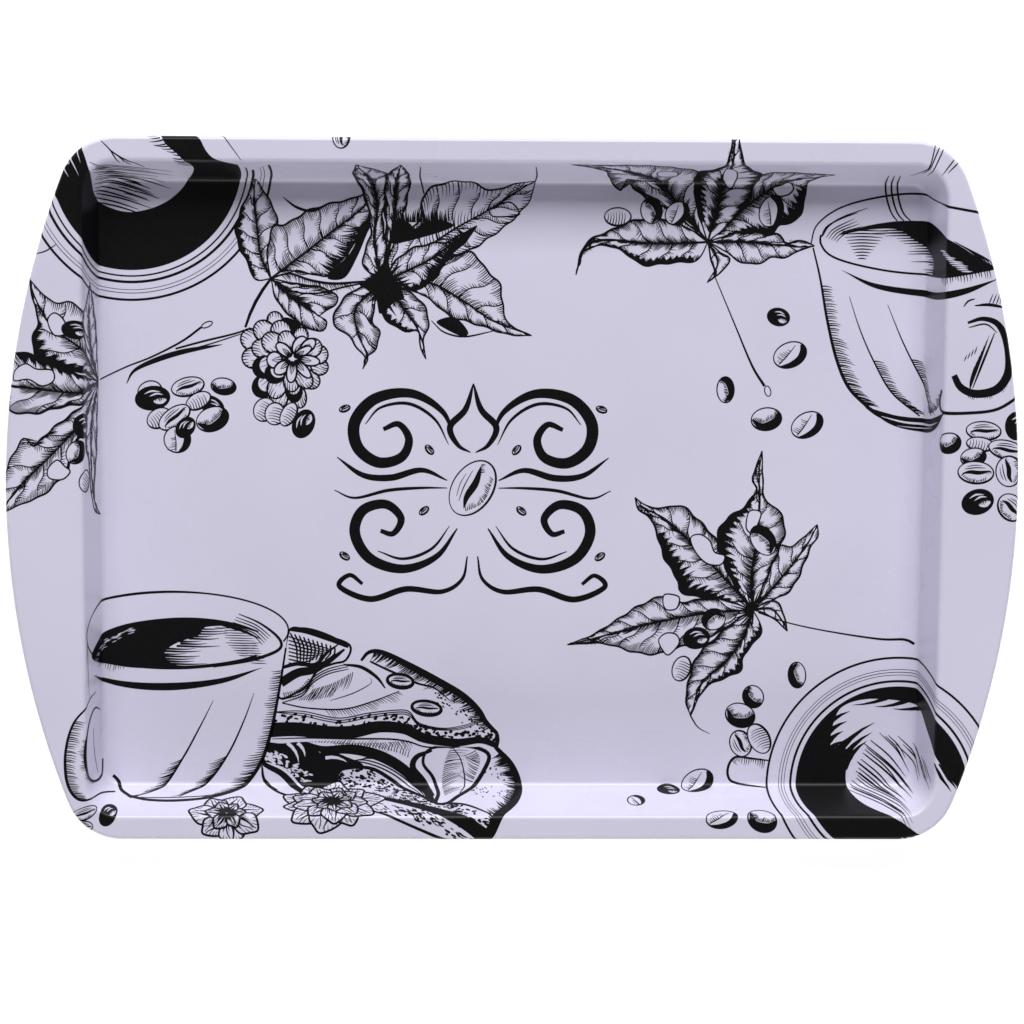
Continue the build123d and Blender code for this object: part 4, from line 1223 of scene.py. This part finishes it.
def beans_lower_right(art):
    art.bean(112.8, -74.5, 5.4, 3.7, 275, "half")
    box = curve([(103, -109), (95, -108), (89, -107.5), (86.3, -111), (86.3, -115.5), (89.5, -118),
            (103, -120.3)])
    art.area(box, False)
    art.stroke(box, 0.5, 1.0, 0.5)
    art.comb(part_of(box, 0.05, 0.4), 1, 3.2, 0.9, 0.4)
    art.beans((91, -102, 5.6, 4.5, 110), (98.3, -100, 6.6, 4.4, 118, "pale"),
            (95.6, -83.2, 4.8, 4.3, -65, "half"), (90.6, -90.7, 6.2, 5.0, -20, "half"),
            (74, -117.7, 6.9, 5.1, 30, "deep"), (62.4, -121.5, 4.6, 3.3, -10, "dark"),
            (49.2, -129, 3.7, 3.6, 90, "deep"), (82.2, -140.4, 6.4, 4.3, 8, "deep"),
            (98, -141, 6.2, 5.0, -30, "half"))


def beans_right_flange(art):
    art.beans((208, 27, 4.6, 5.6, 0, "dark"), (195.2, 25, 7.0, 3.9, -4),
            (194.0, 19.8, 5.6, 3.0, -8, "pale"), (191.5, 14.8, 5.2, 3.8, 10, "half"),
            (204.5, 17.6, 7.6, 3.9, -14), (192.6, 8.8, 7.2, 4.6, -4), (205.5, 9.4, 6.2, 5.4, 95),
            (193.6, -2.6, 6.4, 5.0, 16, "dark"), (206.5, -4.8, 6.0, 5.0, -50),
            (181.8, 20.2, 5.0, 4.2, 10, "half"))


def beans_lower_left(art):
    art.beans((-160, -137.7, 6.4, 5.5, 30, "dark"), (-175.5, -135.8, 7.2, 3.7, 4),
            (-174.5, -142, 6.0, 2.8, -12))


def bean_top_edge(art):
    art.bean(-66.6, 149, 4.4, 3.5, 90)


def croissant(art):
    dice = art.dice
    lower = [(-100, -104), (-99, -112), (-97, -117), (-90, -124.5), (-80, -127), (-66, -131),
            (-50, -138.5), (-38, -144), (-22, -150.5), (-9, -150), (-6, -142), (-1, -134), (2.6, -127),
            (3.6, -120), (1.5, -112.5), (-4, -105.5), (-12, -100)]
    art.area(np.concatenate([curve(lower), [(-60, -98), (-95, -96)]]), False)
    right = curve([(-6, -103.5), (0.5, -111), (3.2, -120), (1, -130), (-5, -139), (-9, -147),
            (-14, -151)])
    art.stroke(right, 1.6, 3.4, 4.5)
    art.comb(right, -1, 5.5, 0.7, 0.7, -15, 0.05, 0.8)
    art.line([(-97, -117), (-90, -124.5), (-80, -127.5), (-66, -131), (-50, -138.5), (-38, -144),
            (-22, -151)], 1.4, 1.0, 1.4)
    art.line([(-99, -104), (-97.5, -110), (-90, -114.5), (-84, -121), (-80, -125)], 1.0, 2.4, 2.6)
    art.line([(-98, -111), (-97, -117), (-92, -122)], 0.6, 1.2, 1.0)
    art.patch([(-99, -102), (-90, -102.2), (-82, -101.6), (-74, -104), (-66, -107), (-58, -111),
            (-66, -113), (-70, -118.5), (-76, -121.5), (-82, -119.5), (-87, -114), (-93, -110.5),
            (-99, -108.5)])
    for i in range(85):
        t = dice.random() ** 1.4
        spot = (-98 + 19 * t + dice.uniform(-1, 1), -102.5 - 11 * t - dice.uniform(0, 5.5))
        art.speck(spot, (0.4, 1.3), (0.25, 0.55), (-60, 20), False)
    for base, tip in (((-88, -102), (-83.5, -110)), ((-84, -102), (-81, -107.5)), ((-79, -103),
            (-75, -106)), ((-73, -108), (-64, -110))):
        art.stroke(bowed(base, tip, 0.12), 1.4, 1.1, 0.1, False)
    art.line([(-82, -101.5), (-74, -104.5), (-62, -104.6), (-52, -107), (-43, -112), (-36, -119),
            (-31.5, -127), (-31, -131)], 1.2, 4.4, 1.6)
    for k in range(5):
        line = curve([(-70 + 4 * k, -111 + k), (-60 + 3 * k, -109.5 + k * 0.6),
                (-48 + 1.5 * k, -113.5 + k * 0.6), (-38 + 0.8 * k, -121.5 + k), (-32.5 + 0.2 * k, -130)])
        art.stroke(line, 0.25, 0.6, 0.2)
    art.fan(curve([(-80, -101.5), (-60, -103), (-46, -105.5), (-40, -108)]), curve([(-78, -100),
            (-60, -100.5), (-46, -101), (-38, -102)]), 34, 0.8, 0.4)
    art.comb(curve([(-70, -101.5), (-58, -102), (-46, -101.5), (-40, -101)]), -1, 4.2, 1.0, 0.3, 30)
    crust = curve([(-73, -116.5), (-66, -112.5), (-56, -112), (-48, -116), (-38, -124), (-28, -130.5),
            (-18, -132), (-8, -138.5)])
    art.stroke(crust, 0.8, 1.6, 0.7)
    for i in range(250):
        t = dice.random() ** 1.3
        spot = along(crust, t) + np.array([dice.uniform(-3.5, 1), dice.uniform(-8.5, -0.8)])
        art.speck(spot, (0.35, 1.15), (0.25, 0.6), (-50, 30))
    band = curve([(-64, -122), (-52, -127), (-40, -131.5), (-28, -137), (-17, -143), (-9, -149)])
    art.stroke(band, 1.2, 3.4, 6.5)
    art.comb(band, 1, 3.0, 0.8, 0.6, 10)
    for i in range(110):
        t = dice.random()
        spot = along(band, t) + np.array([dice.uniform(-3, 1), dice.uniform(-9, -2.6)])
        art.speck(spot, (0.5, 1.6), (0.2, 0.5), (-55, -15))
    for i in range(46):
        spot = (dice.uniform(-16, -1), dice.uniform(-127, -112))
        art.speck(spot, (0.2, 0.6), (0.2, 0.4), (0, 90), step=0.4)
    cheese = curve([(-32, -104.5), (-22, -102.8), (-13, -104), (-8.5, -107), (-10.5, -113), (-15, -120),
            (-21, -126.5), (-25, -131), (-29.5, -131), (-28.5, -124), (-30.5, -116), (-34.5, -110)], True)
    art.area(cheese, False)
    art.loop(cheese, 1.0, 1.7, 1.0)
    art.line([(-31, -105), (-37, -107.5), (-38.5, -112), (-34, -118), (-30.5, -126)], 0.8, 2.6, 1.4)
    art.line([(-23, -103.5), (-19.5, -109), (-18, -118), (-20, -124)], 0.3, 0.5, 0.4)
    art.comb(curve([(-24, -104), (-26, -110), (-27, -118), (-26, -126)]), 1, 7.5, 0.85, 0.32, 22)
    art.comb(curve([(-14, -104.5), (-12, -109), (-15, -118)]), -1, 6, 0.95, 0.36, -12)
    art.patch([(-91.5, -84), (-87, -80.5), (-80, -75), (-74, -71.5), (-66, -70.5), (-58.5, -69),
            (-55.5, -65), (-51, -65.4), (-40, -70.5), (-28, -77), (-19, -82.5), (-13, -88), (-10, -93),
            (-5.2, -97.5), (-5.5, -102), (-14, -103.5), (-32, -103), (-40, -101), (-60, -100.5),
            (-94, -101), (-93, -90)], False)
    band = curve([(-97, -97), (-85, -96.5), (-72, -97.8), (-62, -97.5), (-52, -95.5), (-42, -96.3),
            (-34, -100), (-22, -101.8), (-12, -100.8), (-5.5, -103)])
    art.stroke(band, 5.8, 4.6, 2.2)
    for i in range(120):
        t = dice.random()
        spot = along(band, t) + np.array([0, dice.uniform(1.5, 6.5 - 2.5 * t)])
        art.speck(spot, (0.35, 1.1), (0.3, 0.75), (-30, 60))
    art.line([(-94, -100.4), (-80, -100), (-64, -100.3), (-48, -100.4), (-40, -101.5), (-33, -103.6),
            (-20, -103.6)], 0.3, 0.7, 0.4)
    for k in range(3):
        line = [(-93, -89.5 - 0.1 * k), (-82, -89.3 - 0.9 * k), (-68, -92 - 0.9 * k),
                (-56, -90 - 0.9 * k), (-45, -88.8 - 0.8 * k), (-40, -89.4 - 0.8 * k),
                (-36, -94 - 0.5 * k), (-27, -96 - 0.4 * k), (-19, -95 - 0.6 * k), (-13, -93 - 0.5 * k)]
        art.line(line, 0.3, 0.45, 0.25)
    top = curve([(-59, -69), (-55.8, -65.6), (-50.5, -65.8), (-40, -71), (-28, -77.6), (-19, -83),
            (-13, -88.6), (-9.8, -93.6), (-5.5, -98)])
    art.stroke(top, 1.0, 2.9, 1.5)
    art.comb(top, -1, 5.5, 0.75, 0.65, -25, 0.1, 0.95)
    for i in range(60):
        t = dice.uniform(0.55, 1)
        spot = along(top, t) + np.array([dice.uniform(-6, -0.5), dice.uniform(-6, 0.5)])
        art.area(oval(spot[0], spot[1], dice.uniform(0.3, 0.8), dice.uniform(0.25, 0.5), -40, step=0.5))
    art.line([(-5.6, -97.8), (-5.2, -100.5), (-5.8, -104)], 1.4, 1.8, 1.6)
    art.line([(-55.5, -69.3), (-50, -72), (-44.5, -74.5), (-37, -78), (-30, -80),
            (-24, -85)], 0.7, 0.9, 0.3)
    art.line([(-66, -70.6), (-59, -71.6), (-53, -75.5), (-49.5, -80)], 0.6, 1.4, 0.5)
    for k in range(3):
        line = curve([(-90, -83.5 - 1.2 * k), (-82, -81 - k), (-78, -76 - k), (-72, -72.4 - k),
                (-64, -70.4 - k)])
        art.stroke(line, 0.4, 0.55, 0.3)
    glaze = curve([(-90, -86), (-80, -88), (-66, -88.4), (-55, -85.5), (-44, -81.2)])
    art.stroke(glaze, 0.5, 0.6, 0.3)
    art.line([(-71, -85), (-62, -82), (-55, -78), (-55.5, -76)], 0.2, 0.4, 0.15)
    art.comb(curve([(-78, -80.5), (-70, -78), (-62, -73.5)]), -1, 6.5, 0.8, 0.34, -50)
    art.comb(curve([(-84, -85), (-76, -84.5), (-70, -83)]), 1, 4.5, 0.9, 0.3, -45)
    art.comb(glaze, -1, 4.4, 1.0, 0.3, 35, 0.35, 1.0)
    flap = curve([(-88, -60), (-86.3, -56.2), (-82, -56.4), (-72, -59.3), (-63.4, -63), (-65, -68.8),
            (-70, -70.3), (-76, -73), (-81, -79.5), (-91, -84), (-90, -72)], True)
    art.area(flap, False)
    art.loop(flap, 0.8, 0.9, 0.8)
    art.line([(-87, -56.6), (-80, -57.2), (-71, -60.2), (-64, -63.6)], 1.2, 2.8, 1.0)
    for i in range(11):
        art.line([(-86.8 + 1.75 * i, -58 - 0.55 * i), (-84.5 + 1.5 * i, -63 - 0.35 * i),
                (-84 + 1.2 * i, -69.5 + 0.1 * i)], 0.6, 0.75, 0.5)
    for i in range(8):
        art.line([(-87.4, -59.5 - 1.5 * i), (-81, -61.5 - 1.35 * i),
                (-70.5 - i * 1.1, -64.8 - 0.5 * i)], 0.5, 0.6, 0.35)
    art.line([(-90.5, -72), (-84, -70.3), (-77, -70.6), (-72.5, -66), (-68, -62.6)], 1.2, 1.6, 0.5)
    art.line([(-90.5, -78), (-84, -74), (-77, -72.5), (-70, -68), (-65.5, -64.5)], 3.6, 3.0, 0.8)
    art.comb(curve([(-90, -82), (-84, -80.5), (-79.5, -76)]), -1, 3.4, 0.8, 0.4)
    for x, y, long, wide, turn in ((-43.6, -77.2, 5.3, 2.9, -8), (-33.2, -88, 6.0, 3.0, -8)):
        art.area(oval(x, y, long, wide, turn), False)
        art.bean(x, y, long - 0.3, wide - 0.3, turn)
        art.loop(oval(x, y, long, wide, turn), 0.9)


def star(art, x, y, size, first, points, plump=1.0, flat=1.0):
    """One ring of a star anise: blunt, boat-shaped carpels with engraved shading."""
    for i in range(points):
        angle = math.radians(first + 360 / points * i + art.dice.uniform(-5, 5))
        c, s = (math.cos(angle), math.sin(angle))
        reach = size * art.dice.uniform(0.84, 1.08)

        def place(u, v):
            return (x + reach * (u * c - v * plump * s), y + reach * flat * (u * s + v * plump * c))
        shape = curve([place(0.1, 0), place(0.33, 0.17), place(0.6, 0.27), place(0.82, 0.18), place(1,
                -0.02), place(0.86, -0.13), place(0.62, -0.24), place(0.33, -0.16)], True, 0.7)
        art.area(shape, False)
        art.loop(shape, 0.5, 0.85, 0.5)
        seam = curve([place(0.1, 0), place(0.5, 0.06), place(0.9, 0.0)])
        art.stroke(seam, 0.7, 0.9, 0.1)
        art.line([place(0.15, 0), place(0.5, -0.07), place(0.84, -0.03)], 0.4, 0.5, 0.1)
        foot = curve([place(0.12, 0.02), place(0.3, 0.12)])
        art.fan(foot, curve([place(0.9, 0.02), place(0.75, 0.24)]), 4, 0.55, 0.5)
        foot = curve([place(0.12, -0.02), place(0.3, -0.12)])
        art.fan(foot, curve([place(0.9, -0.02), place(0.75, -0.22)]), 4, 0.6, 0.55)
        art.fan(curve([place(0.72, 0.24), place(0.95, 0.06), place(0.72, -0.22)]), curve([place(0.4,
                0.08), place(0.4, -0.08)]), 7, 0.35, 0.34)


def star_anise(art):
    star(art, -111, -139, 14.5, 20, 7, 1.45, 0.92)
    star(art, -111, -137.5, 8, 0, 6, 1.4)
    star(art, -71, -131.5, 21.5, 12, 10, 1.25, 0.74)
    star(art, -71, -130.5, 14.5, 0, 9, 1.35, 0.8)
    star(art, -70, -129.5, 8.5, 20, 7, 1.4, 0.85)


def corner_strokes(art):
    for line in ([(163.5, 147), (161, 137), (152, 128)], [(166, 146), (162, 137), (158, 131)],
            [(168.5, 145), (165, 137), (161.5, 130)], [(175.5, 139.5), (171, 133)], [(178, 137.5),
            (174, 133.5)]):
        art.line(line, 0.6, 0.8, 0.15)


def centre_ornament(art):
    """Mirrored scrolls round a coffee bean: an ornament with no lettering."""
    x, y = (-15.5, -3.5)

    def both(points, start, middle, end):
        for sx in (1, -1):
            art.line([(x + sx * u, y + v) for u, v in points], start, middle, end, step=0.7)
    both([(7, 22), (12, 33), (24, 40), (38, 38), (46, 29), (45, 19), (37, 13), (28, 15), (25, 22),
            (29, 28), (35, 26)], 0.5, 4.6, 1.6)
    both([(9.5, 20), (15, 30), (25, 36), (36, 34.5), (42, 28)], 0.2, 1.3, 0.3)
    both([(6, -13), (14, -24), (27, -29), (40, -25), (46, -15), (43, -6), (34, -3.5), (28, -9), (31, -15),
            (36, -14)], 0.5, 4.2, 1.6)
    both([(9, -12), (16, -21), (27, -25), (37, -22)], 0.2, 1.2, 0.3)
    both([(0, 44), (3, 34), (9, 27), (6, 20), (1, 17)], 0.4, 2.6, 0.4)
    both([(10, 6), (20, 10), (32, 7), (43, 8), (53, 15)], 0.4, 2.6, 0.3)
    both([(10, 3), (20, 3), (33, 2), (46, -1), (54, 2)], 0.3, 1.3, 0.3)
    both([(2, -24), (4, -33), (12, -38), (26, -37), (40, -41), (52, -36), (48, -31.5),
            (43, -35)], 0.5, 2.4, 1.3)
    for sx in (1, -1):
        for u, v, turn in ((17, 18, 50), (50, 34, -20), (19, -6, -40), (50, -24, 35)):
            art.bean(x + sx * u, y + v, 2.4, 1.5, turn * sx)
    art.bean(x, y + 3, 12, 8.2, 58)


MOTIFS = (cup_above_upper_left, cup_above_lower_right, cup_side_lower_left, cup_side_upper_right,
          leaf_left_edge, leaves_upper_left, leaf_upper_right, leaf_lower_right, flower, twig,
          beans_left, beans_upper_right, beans_lower_right, beans_right_flange, beans_lower_left,
          bean_top_edge, croissant, star_anise, corner_strokes, centre_ornament)
# The motifs that lie over a motif: they hide the part of it that is behind them.
IN_FRONT = {
    cup_above_upper_left: (leaves_upper_left, leaf_left_edge),
    flower: (leaves_upper_left,),
    twig: (flower, leaves_upper_left),
    croissant: (cup_side_lower_left, star_anise),
    beans_lower_right: (cup_above_lower_right,),
    beans_right_flange: (cup_side_upper_right,),
}


def drawn(motif):
    """One motif's print, with random draws of its own."""
    art = Print(1 + MOTIFS.index(motif))
    motif(art)
    return art


for motif in MOTIFS:
    art = drawn(motif).behind(*[drawn(front) for front in IN_FRONT.get(motif, ())])
    film("print_" + motif.__name__, "ink_" + motif.__name__, art)


# ---- stage, light and camera ---------------------------------------------------------
def stage_floor():
    """Pale square that the tray lies on."""
    size = 3.0
    mesh = bpy.data.meshes.new("floor")
    corners = [(-size, -size, 0), (size, -size, 0), (size, size, 0), (-size, size, 0)]
    mesh.from_pydata(corners, [], [(0, 1, 2, 3)])
    floor = bpy.data.objects.new("floor", mesh)
    mesh.materials.append(pale_floor())
    bpy.context.scene.collection.objects.link(floor)


def soft_light(name, place, size, power):
    """Rectangular softbox at place, facing the tray."""
    lamp = bpy.data.lights.new(name, "AREA")
    lamp.shape = "RECTANGLE"
    lamp.size, lamp.size_y = size
    lamp.energy = power
    item = bpy.data.objects.new(name, lamp)
    item.location = place
    item.rotation_euler = (-Vector(place)).to_track_quat("-Z", "Y").to_euler()
    bpy.context.scene.collection.objects.link(item)


def room_light(strength):
    """Even white light from all round."""
    world = bpy.data.worlds.new("room")
    world.use_nodes = True
    back = world.node_tree.nodes["Background"]
    back.inputs["Color"].default_value = (1.0, 1.0, 1.0, 1)
    back.inputs["Strength"].default_value = strength
    bpy.context.scene.world = world


def product_camera():
    """Camera above the tray, leaning eight degrees towards its top edge."""
    distance = 1.400
    aside = (0.0002, 0.0098)
    lean, swing, turn = math.radians(8.0), math.radians(1.78), math.radians(-0.42)
    to_world = Matrix.Rotation(-swing, 3, "Y") @ Matrix.Rotation(-lean, 3, "X")
    to_world = to_world @ Matrix.Rotation(-turn, 3, "Z")
    data = bpy.data.cameras.new("camera")
    data.lens = 126.0
    data.sensor_width = 36.0
    camera = bpy.data.objects.new("camera", data)
    place = to_world @ Vector((-aside[0], -aside[1], distance))
    place.z += FACE * MM
    camera.matrix_world = Matrix.Translation(place) @ to_world.to_4x4()
    bpy.context.scene.collection.objects.link(camera)
    bpy.context.scene.camera = camera


stage_floor()
room_light(0.13)
soft_light("key", (0.0, 3.55, 2.92), (4.5, 1.95), 226)
soft_light("fill", (0.0, -2.0, 0.55), (2.4, 0.6), 19)
product_camera()
bpy.context.scene.view_settings.view_transform = "Standard"
